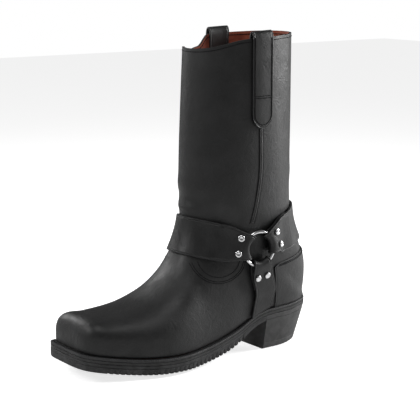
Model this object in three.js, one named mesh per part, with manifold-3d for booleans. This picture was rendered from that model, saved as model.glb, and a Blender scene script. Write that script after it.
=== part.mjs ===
// A left square-toe harness boot, in millimetres.
// The frame's origin is on the floor, at the middle of the heel's underside. +X runs to the toe,
// +Y to the wearer's left (the outer side of this left boot) and +Z up. The pieces are worked out
// with X zero at the back of the heel seat, and moved to that origin where they are added.
import * as THREE from "three";
import Module from "manifold-3d";

const wasm = await Module();
wasm.setup();

// Sole sizes
const SOLE_LENGTH = 316;
const BALL_WIDTH = 115;
const WAIST_WIDTH = 82;
const HEEL_WIDTH = 72;
const TOE_WIDTH = 86;
const TOE_SWING = 19; // how far the toe curves towards the inner side
const TOE_SPRING = 12;
const TREAD_CROWN = 3.5; // how much higher the forefoot's edges are than its middle
const FLAT_SHARE = 0.45; // middle share of the width that is flat across
const BALL_FLAT = 0.3; // how much the tread under the ball is pressed flat
const SEAT_HEIGHT = 51.5; // floor to the top of the welt, behind the heel
const SEAT_DROP = 5; // fall of the heel seat from its back to the heel's breast
const FOREFOOT_STACK = 20.5; // floor to the top of the welt's edge at the ball
const WELT_EDGE = 5; // welt that shows outside the upper, forefoot
const HEEL_WELT_EDGE = 3; // the same behind the heel
const WELT_THICKNESS = 3.2;
const MIDSOLE_THICKNESS = 3.2;
const WELT_LEDGE = 3; // welt that runs in under the upper
const SHANK_THICKNESS = 6;
const TREAD_PITCH = 7.6;
const TREAD_DEPTH = 1.9;
const INSOLE_THICKNESS = 5;

// Heel sizes
const HEEL_LENGTH = 76; // back of the seat to the breast
const HEEL_BACK_RAKE = 13; // how far the heel's back leans in at the floor
const HEEL_BREAST_RAKE = 2;
const HEEL_TAPER = 5; // inset of each flank at the floor
const HEEL_MIDDLE = (HEEL_BACK_RAKE + HEEL_LENGTH + HEEL_BREAST_RAKE) / 2; // X of its underside's

// Upper sizes
const UPPER_WALL = 2.6;
const TOE_BOX_HEIGHT = 45.5; // welt to the top of the toe box
const INSTEP_HEIGHT = 136; // floor to the bend of the instep
const FOOT_TUCK = 2.5; // how far the foot bulges past its feather line
const HEEL_BULGE = 1.5; // how far the back of the heel bulges past the seat
const COLLAR_HEIGHT = 366;
const COLLAR_DIP = 9; // how far the collar dips in front
const SHAFT_FRONT = 169.5; // X of the shaft's front above the ankle
const SHAFT_BACK = 26.5; // X of the shaft's back above the ankle
const SHAFT_TAPER = 7; // how far the front leans back up to the collar
const SHAFT_WIDTH = 97;
const ANKLE_WIDTH = 86;

// Overlays, straps and metal
const GAP = 0.3; // clearance wherever two pieces meet
const COUNTER_THICKNESS = 1.4;
const COUNTER_LENGTH = 72; // back of the seat to its front edge
const COUNTER_HEIGHT = 113; // floor to its top behind the heel
const SEAM_WIDTH = 4;
const SEAM_THICKNESS = 1.1;
const SEAM_TOP_X = 97; // X of the side seams under the pull straps
const SEAM_LOW_X = 106; // and where they meet the harness
const STRAP_THICKNESS = 2.6;
const STRAP_LIFT = 1; // strap above the skin
const INSTEP_STRAP_WIDTH = 43;
const HEEL_STRAP_WIDTH = 43;
const RING_END_WIDTH = 38; // width of both where they meet the ring
const DROP_STRAP_WIDTH = 28;
const FOLD_RADIUS = 4.2; // middle of the leather round the wire
const TUCK_LENGTH = 28; // folded end under the strap, past the wire
const TUCK_STEP = 14; // length in which the strap comes down past its tucked end
const RING_RADIUS = 19.6; // to the middle of the wire
const RING_WIRE = 4.4; // wire diameter
const RING_LIFT = 1.2; // slack under the wire
const RING_X = 100;
const RING_HEIGHT = 126.5;
const INSTEP_STRAP_HEIGHT = 144; // middle of the instep strap over the front
const HEEL_STRAP_HEIGHT = 140; // middle of the heel strap round the back, before its bow
const HEEL_STRAP_BOW = 8;
const STUD_RADIUS = 4.5;
const STUD_HEIGHT = 1.8;
const PULL_WIDTH = 27;
const PULL_THICKNESS = 2.2;
const PULL_OUTER_DROP = 101; // collar to the rounded outer end
const PULL_INNER_DROP = 56; // collar to the inner end
const PULL_RISE = 8; // loop above the collar
const PULL_X = { outer: 96.5, inner: 88 };

// Fold of each strap round the ring. half: half its width there, a share of the ring's radius.
// stud: how far past the wire its two studs sit, a share of the tucked end. step: how far they
// sit to each side of the strap's middle, a share of its end's half width.
const FOLDS = {
  instep: { half: 0.74, stud: 0.28, step: 0.47 },
  heel: { half: 0.66, stud: 0.28, step: 0.42 },
  drop: { half: 0.56, stud: 0.51, step: 0.47 },
};

// The drop strap's way down. down: share of the drop from the ring's middle to the welt. shift:
// how far its middle line bends towards the heel, and half: half its width, shares of its width
const DROP_LINE = [
  { down: 0, shift: 0, half: 0.47 },
  { down: 0.23, shift: 0.09, half: 0.48 },
  { down: 0.42, shift: 0.31, half: 0.5 },
  { down: 0.64, shift: 0.5, half: 0.52 },
  { down: 0.9, shift: 0.41, half: 0.47 },
];

// The counter's upper corners, from its front foot to behind the heel: shares of its length and
// of its height
const COUNTER_CORNERS = [
  { along: 0.92, up: 0.575 },
  { along: 1, up: 0.885 },
  { along: 0.945, up: 0.912 },
  { along: 0.28, up: 1 },
  { along: -0.17, up: 1 },
];

// A side seam's way: up from the harness to the pull strap, and over from its top's X to its foot's
const SEAM_LINE = [
  { up: 1, over: 0 },
  { up: 0.5, over: 0.05 },
  { up: 0.18, over: 0.6 },
  { up: 0, over: 1 },
];

// Drops below the collar where a pull strap is laid on the shaft: shares of each end's length
const PULL_OUTSIDE = [0.83, 0.65, 0.475, 0.3, 0.14, 0.04];
const PULL_INSIDE = [0.07, 0.32, 0.64, 1];

// Mesh fineness
const SECTION_POINTS = 26; // round each section, left feather line to right
const CAP_SECTIONS = 6; // that close the toe
const SECTIONS_PER_ROW = 2; // between two rows of the section tables
const PLAN_POINTS = 15; // along each side of the sole between its rounded ends
const STRAP_PITCH = 9; // between two rows of a strap round the leg
const RING_POINTS = 24; // round a ring
const WIRE_POINTS = 7; // round its wire
const STUD_POINTS = 8;

// Sole outline: each side's half width as a share of a named width
const OUTLINE = [
  { along: 0.13, of: HEEL_WIDTH, left: 0.51, right: 0.51 },
  { along: 0.25, of: HEEL_WIDTH, left: 0.495, right: 0.485 },
  { along: 0.4, of: WAIST_WIDTH, left: 0.51, right: 0.48 },
  { along: 0.54, of: BALL_WIDTH, left: 0.435, right: 0.4 },
  { along: 0.66, of: BALL_WIDTH, left: 0.505, right: 0.47 },
  { along: 0.74, of: BALL_WIDTH, left: 0.5, right: 0.5 },
  { along: 0.86, of: BALL_WIDTH, left: 0.43, right: 0.465 },
  { along: 0.95, of: TOE_WIDTH, left: 0.5, right: 0.535 },
  { along: 1.02, of: TOE_WIDTH, left: 0.465, right: 0.5 },
];
const HEEL_ROUND = { share: 0.24, power: 2.35 }; // of the length, and how square it is
const TOE_ROUND = { share: 0.115, power: 4.8 };

// Height of the welt's top along the sole: a share of each named height
const WELT_LINE = [
  { along: 0, seat: 1, drop: 0, stack: 0, spring: 0 },
  { along: 0.12, seat: 1, drop: 0.35, stack: 0, spring: 0 },
  { along: 0.27, seat: 1, drop: 1, stack: 0, spring: 0 },
  { along: 0.4, seat: 0.42, drop: 0.42, stack: 0.58, spring: 0 },
  { along: 0.54, seat: 0.08, drop: 0.08, stack: 0.92, spring: 0 },
  { along: 0.66, seat: 0, drop: 0, stack: 1, spring: 0 },
  { along: 0.78, seat: 0, drop: 0, stack: 1, spring: 0.12 },
  { along: 0.9, seat: 0, drop: 0, stack: 1, spring: 0.5 },
  { along: 1, seat: 0, drop: 0, stack: 1, spring: 1 },
];

// Rings of the heel from the floor up. up: share of its height. lean: 0 at the floor's outline,
// 1 at the seat's. edge: how far the ring is drawn in.
const HEEL_RINGS = [
  { up: 0, lean: 0, edge: 2.5 },
  { up: 0.07, lean: 0.05, edge: 0 },
  { up: 0.86, lean: 0.88, edge: 0 },
  { up: 0.875, lean: 0.88, edge: 0.7 },
  { up: 0.89, lean: 0.9, edge: 0 },
  { up: 1, lean: 1, edge: 0 },
];

// Foot sections, toe to heel. ridge and base: share of the length where the section meets the
// top line and the feather line. rise: 0 at the toe box's top, 1 at the instep's bend. widest:
// share of the way down the section. crown and flank: how square it is above and below that.
// outline: 1 takes the half width from the sole's outline, 0 from half, a share of the ankle's.
const FOOT = [
  { ridge: 0.893, base: 0.9, rise: 0, widest: 0.62, crown: 2.7, flank: 2.4, outline: 1, half: 0.54 },
  { ridge: 0.82, base: 0.835, rise: 0.03, widest: 0.6, crown: 2.5, flank: 2.4, outline: 1, half: 0.54 },
  { ridge: 0.745, base: 0.765, rise: 0.105, widest: 0.62, crown: 2.25, flank: 2.4, outline: 1, half: 0.54 },
  { ridge: 0.675, base: 0.69, rise: 0.275, widest: 0.66, crown: 2.08, flank: 2.3, outline: 1, half: 0.54 },
  { ridge: 0.613, base: 0.605, rise: 0.52, widest: 0.7, crown: 2, flank: 2.2, outline: 1, half: 0.54 },
  { ridge: 0.58, base: 0.51, rise: 0.76, widest: 0.7, crown: 2, flank: 2.1, outline: 0, half: 0.54 },
  { ridge: 0.564, base: 0.415, rise: 0.93, widest: 0.66, crown: 2, flank: 2, outline: 0, half: 0.505 },
  { ridge: 0.553, base: 0.32, rise: 1.07, widest: 0.6, crown: 2, flank: 2, outline: 0, half: 0.49 },
  { ridge: 0.546, base: 0.23, rise: 1.18, widest: 0.54, crown: 2, flank: 2, outline: 0, half: 0.485 },
  { ridge: 0.541, base: 0.14, rise: 1.28, widest: 0.5, crown: 2, flank: 2, outline: 0, half: 0.49 },
  { ridge: 0.537, base: 0.06, rise: 1.37, widest: 0.48, crown: 2, flank: 2, outline: 0, half: 0.495 },
];

// Leg sections, heel seat to collar, each a closed loop. front and back: its height there as a
// share of the collar's. reach: 0 at the back of the heel, 1 at the back of the shaft. widest:
// share of the way back. wide: 0 the ankle's width, 1 the shaft's. lean: share of the front's
// taper. scoop: share of the collar's dip in front.
const LEG = [
  { front: 0.455, back: 0, reach: 0, widest: 0.48, wide: 0.05, lean: 0, flank: 2, scoop: 0 },
  { front: 0.47, back: 0.215, reach: 0.03, widest: 0.48, wide: 0.15, lean: 0, flank: 2, scoop: 0 },
  { front: 0.485, back: 0.27, reach: 0.13, widest: 0.485, wide: 0.28, lean: 0, flank: 2.05, scoop: 0 },
  { front: 0.502, back: 0.335, reach: 0.48, widest: 0.49, wide: 0.45, lean: 0, flank: 2.1, scoop: 0 },
  { front: 0.521, back: 0.405, reach: 0.88, widest: 0.49, wide: 0.68, lean: 0.03, flank: 2.1, scoop: 0 },
  { front: 0.6, back: 0.5, reach: 1, widest: 0.5, wide: 0.92, lean: 0.12, flank: 2.1, scoop: 0 },
  { front: 0.7, back: 0.635, reach: 1, widest: 0.5, wide: 1, lean: 0.32, flank: 2.1, scoop: 0 },
  { front: 0.84, back: 0.8, reach: 1, widest: 0.5, wide: 1, lean: 0.65, flank: 2.1, scoop: 0.25 },
  { front: 0.985, back: 1, reach: 1, widest: 0.5, wide: 1, lean: 1, flank: 2.1, scoop: 1 },
];

const { clamp, lerp, smoothstep } = THREE.MathUtils;
const point = (x, y, z) => new THREE.Vector3(x, y, z);
const column = (table, name) => table.map((row) => row[name]);

/** A smooth curve through values given at rising places. */
function curveThrough(places, values) {
  const steps = places.slice(1).map((place, i) => place - places[i]);
  const slopes = steps.map((step, i) => (values[i + 1] - values[i]) / step);
  const tangents = values.map((_, i) => {
    if (i === 0) return slopes[0];
    if (i === slopes.length) return slopes[i - 1];
    return (slopes[i - 1] * steps[i] + slopes[i] * steps[i - 1]) / (steps[i - 1] + steps[i]);
  });
  return (place) => {
    let i = 0;
    while (i < steps.length - 1 && place > places[i + 1]) i += 1;
    const t = (place - places[i]) / steps[i];
    const rest = 1 - t;
    const along = steps[i] * t * rest * (rest * tangents[i] - t * tangents[i + 1]);
    return (1 + 2 * t) * rest * rest * values[i] + t * t * (3 - 2 * t) * values[i + 1] + along;
  };
}

/** The sole seen from above and from the side: half widths, swing and the welt's height. */
class Last {
  constructor() {
    const places = column(OUTLINE, "along");
    this.left = curveThrough(places, OUTLINE.map((row) => row.left * row.of));
    this.right = curveThrough(places, OUTLINE.map((row) => row.right * row.of));
    this.height = curveThrough(
      WELT_LINE.map((row) => row.along * SOLE_LENGTH),
      WELT_LINE.map(
        (row) =>
          row.seat * SEAT_HEIGHT -
          row.drop * SEAT_DROP +
          row.stack * FOREFOOT_STACK +
          row.spring * TOE_SPRING,
      ),
    );
  }

  /** Height of the welt's top at x, out from the middle line by an amount on one side. */
  top(x, out, side) {
    const share = x / SOLE_LENGTH;
    const crown = TREAD_CROWN * smoothstep(share, 0.42, 0.62) * (1 - smoothstep(share, 0.8, 0.97));
    const full = Math.max(this.half(x, side), 1);
    return this.height(x) - crown * (1 - clamp((out / full - FLAT_SHARE) / (1 - FLAT_SHARE), 0, 1));
  }

  /** How far the middle line has swung to the inner side at x. */
  swing(x) {
    const share = clamp((x / SOLE_LENGTH - 0.35) / 0.65, 0, 1.1);
    return -TOE_SWING * share * share;
  }

  /** Half width on one side (1 left, -1 right), inside an inset edge. */
  half(x, side, inset = 0, heelInset = inset) {
    const share = x / SOLE_LENGTH;
    const edge = lerp(heelInset, inset, smoothstep(share, 0.2, 0.4));
    const full = (side > 0 ? this.left : this.right)(clamp(share, 0.13, 1.02)) - edge;
    const heelEnd = HEEL_ROUND.share * SOLE_LENGTH;
    const toeStart = (1 - TOE_ROUND.share) * SOLE_LENGTH;
    const back = clamp((heelEnd - x) / (heelEnd - heelInset), 0, 1);
    const front = clamp((x - toeStart) / (SOLE_LENGTH - inset - toeStart), 0, 1);
    const heel = (1 - back ** HEEL_ROUND.power) ** (1 / HEEL_ROUND.power);
    const toe = (1 - front ** TOE_ROUND.power) ** (1 / TOE_ROUND.power);
    return full * heel * toe;
  }
}

const last = new Last();
const OUTSOLE_DEPTH = WELT_THICKNESS + MIDSOLE_THICKNESS + 2 * GAP;
const FEATHER = [WELT_EDGE, HEEL_WELT_EDGE];

/** Numbers that fix one section of the upper, from the foot's table. */
function footSection(row) {
  const baseX = row.base * SOLE_LENGTH;
  const toeTop = FOREFOOT_STACK + 0.3 * TOE_SPRING + TOE_BOX_HEIGHT - TREAD_CROWN;
  const [left, right] = [1, -1].map((side) => last.half(baseX, side, ...FEATHER));
  const half = row.half * ANKLE_WIDTH;
  return {
    ridgeX: row.ridge * SOLE_LENGTH,
    ridgeZ: lerp(toeTop, INSTEP_HEIGHT, row.rise),
    baseX,
    baseZ: last.height(baseX) + GAP,
    left: lerp(half, left + FOOT_TUCK, row.outline),
    right: lerp(half, right + FOOT_TUCK, row.outline),
    leftBase: left,
    rightBase: right,
    widest: row.widest,
    crown: row.crown,
    flank: row.flank,
    scoop: 0,
  };
}

/** The same for the closed sections of the leg. */
function legSection(row) {
  const half = lerp(ANKLE_WIDTH, SHAFT_WIDTH, row.wide) / 2;
  const seated = row.back === 0;
  return {
    ridgeX: SHAFT_FRONT - row.lean * SHAFT_TAPER,
    ridgeZ: row.front * COLLAR_HEIGHT,
    baseX: seated ? HEEL_WELT_EDGE : lerp(-HEEL_BULGE, SHAFT_BACK, row.reach),
    baseZ: seated ? last.height(HEEL_WELT_EDGE) + GAP : row.back * COLLAR_HEIGHT,
    left: half,
    right: half,
    leftBase: 0,
    rightBase: 0,
    widest: row.widest,
    crown: 2,
    flank: row.flank,
    scoop: row.scoop * COLLAR_DIP,
  };
}

/** Rows from the table's own, with smooth ones between them. */
function refine(sections, parts) {
  const places = sections.map((_, i) => i);
  const curves = Object.keys(sections[0]).map((name) => [
    name,
    curveThrough(places, column(sections, name)),
  ]);
  const count = (sections.length - 1) * parts;
  return Array.from({ length: count + 1 }, (_, i) =>
    Object.fromEntries(curves.map(([name, curve]) => [name, curve(i / parts)])),
  );
}

/** Sections that close the toe, from its front point back to the first of the foot's. */
function toeCap(first) {
  const tip = SOLE_LENGTH - WELT_EDGE;
  const height = first.ridgeZ - last.height(first.ridgeX);
  return Array.from({ length: CAP_SECTIONS }, (_, i) => {
    const reach = Math.cos(((i / CAP_SECTIONS) * Math.PI) / 2);
    const rise = (1 - reach ** 3) ** (1 / 3);
    const ridgeX = lerp(first.ridgeX, tip, reach);
    const baseX = lerp(first.baseX, tip, reach);
    const [left, right] = [1, -1].map((side) => last.half(baseX, side, ...FEATHER));
    return {
      ...first,
      ridgeX,
      ridgeZ: last.height(ridgeX) + GAP + (height - GAP) * rise,
      baseX,
      baseZ: last.height(baseX) + GAP,
      left: left + FOOT_TUCK * rise,
      right: right + FOOT_TUCK * rise,
      leftBase: left,
      rightBase: right,
      crown: first.crown + 0.5 * reach,
    };
  });
}

/** A point on a section: turn runs from -1 (left base) over 0 (ridge) to 1 (right base). */
function onSection(section, turn) {
  const side = turn < 0 ? 1 : -1;
  const wide = side > 0 ? section.left : section.right;
  const base = side > 0 ? section.leftBase : section.rightBase;
  const split = 0.56;
  const away = Math.abs(turn);
  let down = 0;
  let out = 0;
  if (away <= split) {
    const angle = ((away / split) * Math.PI) / 2;
    down = section.widest * (1 - Math.cos(angle) ** (2 / section.crown));
    out = wide * Math.sin(angle) ** (2 / section.crown);
  } else {
    const angle = (((away - split) / (1 - split)) * Math.PI) / 2;
    down = lerp(section.widest, 1, Math.sin(angle) ** (2 / section.flank));
    out = base + (wide - base) * Math.max(Math.cos(angle), 0) ** (2 / section.flank);
  }
  const x = lerp(section.ridgeX, section.baseX, down);
  const dip = section.scoop * (1 - smoothstep(down, 0, 0.36));
  return point(x, side * out + last.swing(x), lerp(section.ridgeZ, section.baseZ, down) - dip);
}

/** Points and faces of one piece while it is put together. */
class Solid {
  constructor() {
    this.points = [];
    this.faces = [];
    this.known = new Map();
  }

  /** Index of a point; points that coincide share one. */
  index(p) {
    const key = [p.x, p.y, p.z].map((value) => Math.round(value * 2000)).join();
    if (!this.known.has(key)) {
      this.known.set(key, this.points.length);
      this.points.push(p.clone());
    }
    return this.known.get(key);
  }

  face(...corners) {
    const [a, b, c] = corners.map((corner) => this.index(corner));
    if (a !== b && b !== c && a !== c) this.faces.push([a, b, c]);
  }

  quad(a, b, c, d) {
    this.face(a, b, c);
    this.face(a, c, d);
  }

  /** Quads between two lines of points. */
  strip(first, second) {
    for (let i = 0; i + 1 < first.length; i += 1) {
      this.quad(first[i], first[i + 1], second[i + 1], second[i]);
    }
  }

  /** Quads over a grid of points; flip turns its face round, on the same diagonals. */
  grid(rows, flip = false) {
    for (let i = 0; i + 1 < rows.length; i += 1) {
      for (let j = 0; j + 1 < rows[i].length; j += 1) {
        const [a, b, c, d] = [rows[i][j], rows[i][j + 1], rows[i + 1][j + 1], rows[i + 1][j]];
        if (flip) this.quad(c, b, a, d);
        else this.quad(a, b, c, d);
      }
    }
  }

  volume() {
    return this.faces.reduce((sum, [a, b, c]) => {
      const [p, q, r] = [this.points[a], this.points[b], this.points[c]];
      return sum + p.dot(q.clone().cross(r)) / 6;
    }, 0);
  }

  geometry() {
    const outward = this.volume() > 0;
    const faces = outward ? this.faces : this.faces.map(([a, b, c]) => [a, c, b]);
    const geometry = new THREE.BufferGeometry();
    const numbers = this.points.flatMap((p) => p.toArray());
    geometry.setAttribute("position", new THREE.Float32BufferAttribute(numbers, 3));
    geometry.setIndex(faces.flat());
    return geometry;
  }
}

/** A solid between an outer and an inner grid of points. */
function slab(outer, inner) {
  const solid = new Solid();
  solid.grid(outer);
  solid.grid(inner, true);
  const last = outer.length - 1;
  const end = outer[0].length - 1;
  solid.strip(inner[0], outer[0]);
  solid.strip(outer[last], inner[last]);
  solid.strip(column(outer, 0), column(inner, 0));
  solid.strip(column(inner, end), column(outer, end));
  return solid;
}

/** A solid through rings of points: a closed loop of rings, or one with both ends capped. */
function loft(rings, looped = false) {
  const solid = new Solid();
  const rows = rings.map((ring) => [...ring, ring[0]]);
  if (looped) rows.push(rows[0]);
  solid.grid(rows);
  if (looped) return solid;
  [rings[0], rings[rings.length - 1]].forEach((ring, i) => {
    for (let a = 0, b = ring.length - 1; a < b - 1; a += 1, b -= 1) {
      const corners = [ring[a], ring[a + 1], ring[b - 1], ring[b]];
      if (i === 0) corners.reverse();
      solid.quad(...corners);
    }
  });
  return solid;
}

/** Cuts and joins of two geometries. */
function combine(first, action, second) {
  const [a, b] = [first, second].map((geometry) => {
    const vertProperties = geometry.getAttribute("position").array;
    return new wasm.Manifold(
      new wasm.Mesh({ numProp: 3, vertProperties, triVerts: new Uint32Array(geometry.index.array) }),
    );
  });
  const mesh = a[action](b).getMesh();
  const geometry = new THREE.BufferGeometry();
  geometry.setAttribute("position", new THREE.Float32BufferAttribute(mesh.vertProperties, 3));
  geometry.setIndex(Array.from(mesh.triVerts));
  return geometry;
}

/** The skin of the upper: a grid of points from the toe's front point to the collar. */
class Skin {
  constructor() {
    const tables = [...FOOT.map(footSection), ...LEG.map(legSection)];
    const lastOpen = CAP_SECTIONS + FOOT.length * SECTIONS_PER_ROW;
    const body = refine(tables, SECTIONS_PER_ROW);
    this.open = lastOpen; // row where the two feather lines meet behind the heel
    this.sections = [...toeCap(body[0]), ...body].map((section, i) => {
      if (i > lastOpen) return { ...section, leftBase: 0, rightBase: 0 };
      return i > CAP_SECTIONS && i < lastOpen ? this.onWelt(section) : section;
    });
    const turns = Array.from({ length: SECTION_POINTS + 1 }, (_, i) => (2 * i) / SECTION_POINTS - 1);
    this.rows = this.sections.map((section) => turns.map((turn) => onSection(section, turn)));
    this.normals = this.pointNormals();
  }

  /** Sets a section's two base points on the welt. */
  onWelt(section) {
    const [leftBase, rightBase] = [1, -1].map((side) => last.half(section.baseX, side, ...FEATHER));
    return { ...section, baseZ: last.height(section.baseX) + GAP, leftBase, rightBase };
  }

  pointNormals() {
    const solid = new Solid();
    solid.grid(this.rows);
    const sums = solid.points.map(() => point(0, 0, 0));
    solid.faces.forEach((face) => {
      const [p, q, r] = face.map((i) => solid.points[i]);
      const normal = q.clone().sub(p).cross(r.clone().sub(p));
      face.forEach((i) => sums[i].add(normal));
    });
    const outward = Math.sign(sums[solid.index(this.rows[this.open][SECTION_POINTS / 2])].x);
    sums.forEach((sum) => sum.normalize().multiplyScalar(outward));
    return this.rows.map((row) => row.map((p) => sums[solid.index(p)]));
  }

  /** The skin's points moved out by a distance. */
  moved(distance) {
    return this.rows.map((row, i) =>
      row.map((p, j) => p.clone().addScaledVector(this.normals[i][j], distance)),
    );
  }

  /** A wall between two distances from the skin, open underneath and at the collar. */
  shell(outerDistance, innerDistance) {
    const outer = this.moved(outerDistance);
    const inner = this.moved(innerDistance);
    const solid = new Solid();
    solid.grid(outer);
    solid.grid(inner, true);
    const top = outer.length - 1;
    solid.strip(outer[top], inner[top]);
    const edge = SECTION_POINTS;
    const foot = (rows, place) => column(rows.slice(0, this.open + 1), place);
    solid.strip(foot(outer, 0), foot(inner, 0));
    solid.strip(foot(inner, edge), foot(outer, edge));
    return solid.geometry();
  }
}

const skin = new Skin();

/** Places along the sole, close together at its ends. */
function soleStations(start, end) {
  const ends = Array.from({ length: 9 }, (_, i) => 1 - Math.cos((i / 16) * Math.PI));
  const heel = ends.map((share) => share * HEEL_ROUND.share * SOLE_LENGTH);
  const toe = ends.map((share) => SOLE_LENGTH - share * TOE_ROUND.share * SOLE_LENGTH);
  const from = heel[heel.length - 1];
  const to = toe[toe.length - 1];
  const middle = Array.from({ length: PLAN_POINTS }, (_, i) => lerp(from, to, (i + 1) / (PLAN_POINTS + 1)));
  const all = [...heel, ...middle, ...toe.reverse()];
  return [start, ...all.filter((x) => x > start + 0.01 && x < end - 0.01), end];
}

/** A sole layer from its stations; top and bottom are depths below the welt's top. */
function layer(stations, inset, heelInset) {
  return loft(
    stations.map(({ x, top, bottom }) => {
      const line = [1, -1].flatMap((side) => {
        const edge = last.half(x, side, inset, heelInset);
        const outs = [edge, Math.min(FLAT_SHARE * last.half(x, side), 0.9 * edge)];
        const points = outs.map((out) => ({ y: last.swing(x) + side * out, drop: last.top(x, out, side) }));
        return side > 0 ? points : points.reverse();
      });
      return [
        ...line.map(({ y, drop }) => point(x, y, drop - top)),
        ...line.reverse().map(({ y, drop }) => point(x, y, drop - bottom)),
      ];
    }),
  ).geometry();
}

/** A layer of even thickness that lies a given depth below the welt's top. */
function evenLayer(depth, thickness, inset, heelInset) {
  const stations = soleStations(heelInset, SOLE_LENGTH - inset).map((x) => {
    return { x, top: depth, bottom: depth + thickness };
  });
  return layer(stations, inset, heelInset);
}

function welt() {
  const edges = [
    [0, 0],
    [WELT_EDGE + WELT_LEDGE, HEEL_WELT_EDGE + WELT_LEDGE],
  ];
  const [outer, inner] = edges.map(([inset, heelInset]) => {
    const xs = soleStations(0, SOLE_LENGTH).map((x) =>
      lerp(heelInset, SOLE_LENGTH - inset, x / SOLE_LENGTH),
    );
    const side = (sign) =>
      xs.map((x) => {
        const out = last.half(x, sign, inset, heelInset);
        return point(x, last.swing(x) + sign * out, last.top(x, out, sign));
      });
    return [...side(1), ...side(-1).reverse().slice(1, -1)];
  });
  const under = (p) => point(p.x, p.y, p.z - WELT_THICKNESS);
  const rings = outer.map((edge, i) => [edge, inner[i], under(inner[i]), under(edge)]);
  return loft(rings, true).geometry();
}

/** Depth of the tread's tips below the welt's top: on the floor under the ball. */
function treadDepth(x) {
  const full = smoothstep(x / SOLE_LENGTH, 0.28, 0.44);
  const stack = FOREFOOT_STACK - TREAD_CROWN + BALL_FLAT;
  const middle = lerp(OUTSOLE_DEPTH + SHANK_THICKNESS, stack, full);
  return Math.min(middle, last.top(x, 0, 1));
}

/** The outsole from the breast of the heel to the toe, with ribs across its tread. */
function outsole() {
  const start = HEEL_LENGTH + GAP;
  const firstRib = 0.36 * SOLE_LENGTH;
  const lastRib = 0.93 * SOLE_LENGTH;
  const count = Math.round((lastRib - firstRib) / TREAD_PITCH);
  const pitch = (lastRib - firstRib) / count;
  const cuts = Array.from({ length: count }, (_, i) => firstRib + i * pitch);
  const plain = soleStations(start, SOLE_LENGTH).filter((x) =>
    cuts.every((cut) => x < cut - 0.4 || x > cut + 0.5 * pitch + 0.4),
  );
  const stations = plain.map((x) => ({ x, lift: 0 }));
  cuts.forEach((cut) => {
    const [near, far] = [cut, cut + 0.42 * pitch];
    stations.push({ x: near, lift: 0 }, { x: near + 0.1, lift: TREAD_DEPTH });
    stations.push({ x: far - 0.1, lift: TREAD_DEPTH }, { x: far, lift: 0 });
  });
  stations.sort((a, b) => a.x - b.x);
  return layer(
    stations.map(({ x, lift }) => ({
      x,
      top: OUTSOLE_DEPTH,
      bottom: treadDepth(x) - lift,
    })),
    0,
    0,
  );
}

/** The stacked heel: flat on the floor, its back and flanks leaning in. */
function heel() {
  const xs = soleStations(0, HEEL_LENGTH);
  const rings = HEEL_RINGS.map(({ up, lean, edge }) => {
    const line = (side) =>
      xs.map((x) => {
        const back = lerp(HEEL_BACK_RAKE, 0, lean) + edge;
        const front = HEEL_LENGTH + lerp(HEEL_BREAST_RAKE, 0, lean);
        const inset = Math.min(lerp(HEEL_TAPER, 0, lean) + edge, last.half(x, side));
        const y = last.swing(x) + side * (last.half(x, side) - inset);
        const top = last.height(x) - OUTSOLE_DEPTH - GAP;
        return point(lerp(back, front, x / HEEL_LENGTH), y, up * top);
      });
    return [...line(1), ...line(-1).reverse()];
  });
  const solid = new Solid();
  solid.grid(rings.map((ring) => [...ring, ring[0]]));
  [rings[0], rings[rings.length - 1]].forEach((ring, i) => {
    const left = ring.slice(0, xs.length);
    const right = ring.slice(xs.length).reverse();
    if (i === 0) solid.strip(right, left);
    else solid.strip(left, right);
  });
  return solid.geometry();
}

/** Finds a surface's points and normals by casting rays at it. */
class Rays {
  constructor(geometry) {
    const surface = geometry.clone();
    surface.computeVertexNormals();
    this.mesh = new THREE.Mesh(surface, new THREE.MeshBasicMaterial({ side: THREE.DoubleSide }));
    this.caster = new THREE.Raycaster();
  }

  /** First point met from far out on a line towards the target, with its outward normal. */
  meet(target, outward) {
    const away = outward.clone().normalize();
    this.caster.set(target.clone().addScaledVector(away, 400), away.clone().negate());
    const [hit] = this.caster.intersectObject(this.mesh);
    const normal = hit.normal.clone().multiplyScalar(Math.sign(hit.normal.dot(away)) || 1);
    return { place: hit.point.clone(), normal };
  }
}

const skinSheet = new Solid();
skinSheet.grid(skin.rows);
const rays = new Rays(skinSheet.geometry());

/** A strap's way round the leg from the outer ring to the inner one. */
class RoundWay {
  constructor(target, width, bow) {
    this.along = point(target.x - RING_X, 0, target.z - RING_HEIGHT).normalize();
    const turn = Math.sign(this.along.x);
    this.across = point(-this.along.z * turn, 0, this.along.x * turn);
    this.width = width;
    this.bow = bow;
    this.runs = [0];
    const count = 48;
    this.angles = Array.from({ length: count + 1 }, (_, i) => Math.PI / 2 - (i / count) * Math.PI);
    this.angles.reduce((before, angle) => {
      const { place } = this.cast(angle, 0);
      if (before) this.runs.push(this.runs[this.runs.length - 1] + place.distanceTo(before));
      return place;
    }, null);
    this.length = this.runs[this.runs.length - 1];
  }

  cast(angle, step) {
    const out = this.along.clone().multiplyScalar(Math.cos(angle));
    out.y += Math.sin(angle);
    const target = point(RING_X, 0, RING_HEIGHT).addScaledVector(this.across, step);
    return rays.meet(target, out);
  }

  half(run) {
    const near = Math.min(run, this.length - run);
    const spread = smoothstep(near, RING_RADIUS, RING_RADIUS + TUCK_LENGTH);
    return lerp(RING_END_WIDTH, this.width, spread) / 2;
  }

  at(run, step) {
    let i = 0;
    while (i < this.runs.length - 2 && run > this.runs[i + 1]) i += 1;
    const share = (run - this.runs[i]) / (this.runs[i + 1] - this.runs[i]);
    const angle = lerp(this.angles[i], this.angles[i + 1], share);
    const arch = 1 - Math.abs((2 * run) / this.length - 1) ** 4;
    return this.cast(angle, step + this.bow * arch);
  }
}

/** The same way seen from the inner ring. */
class ReversedWay {
  constructor(way) {
    this.way = way;
    this.along = way.along;
    this.across = way.across;
    this.length = way.length;
  }

  half(run) {
    return this.way.half(this.length - run);
  }

  at(run, step) {
    return this.way.at(this.length - run, step);
  }
}

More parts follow.
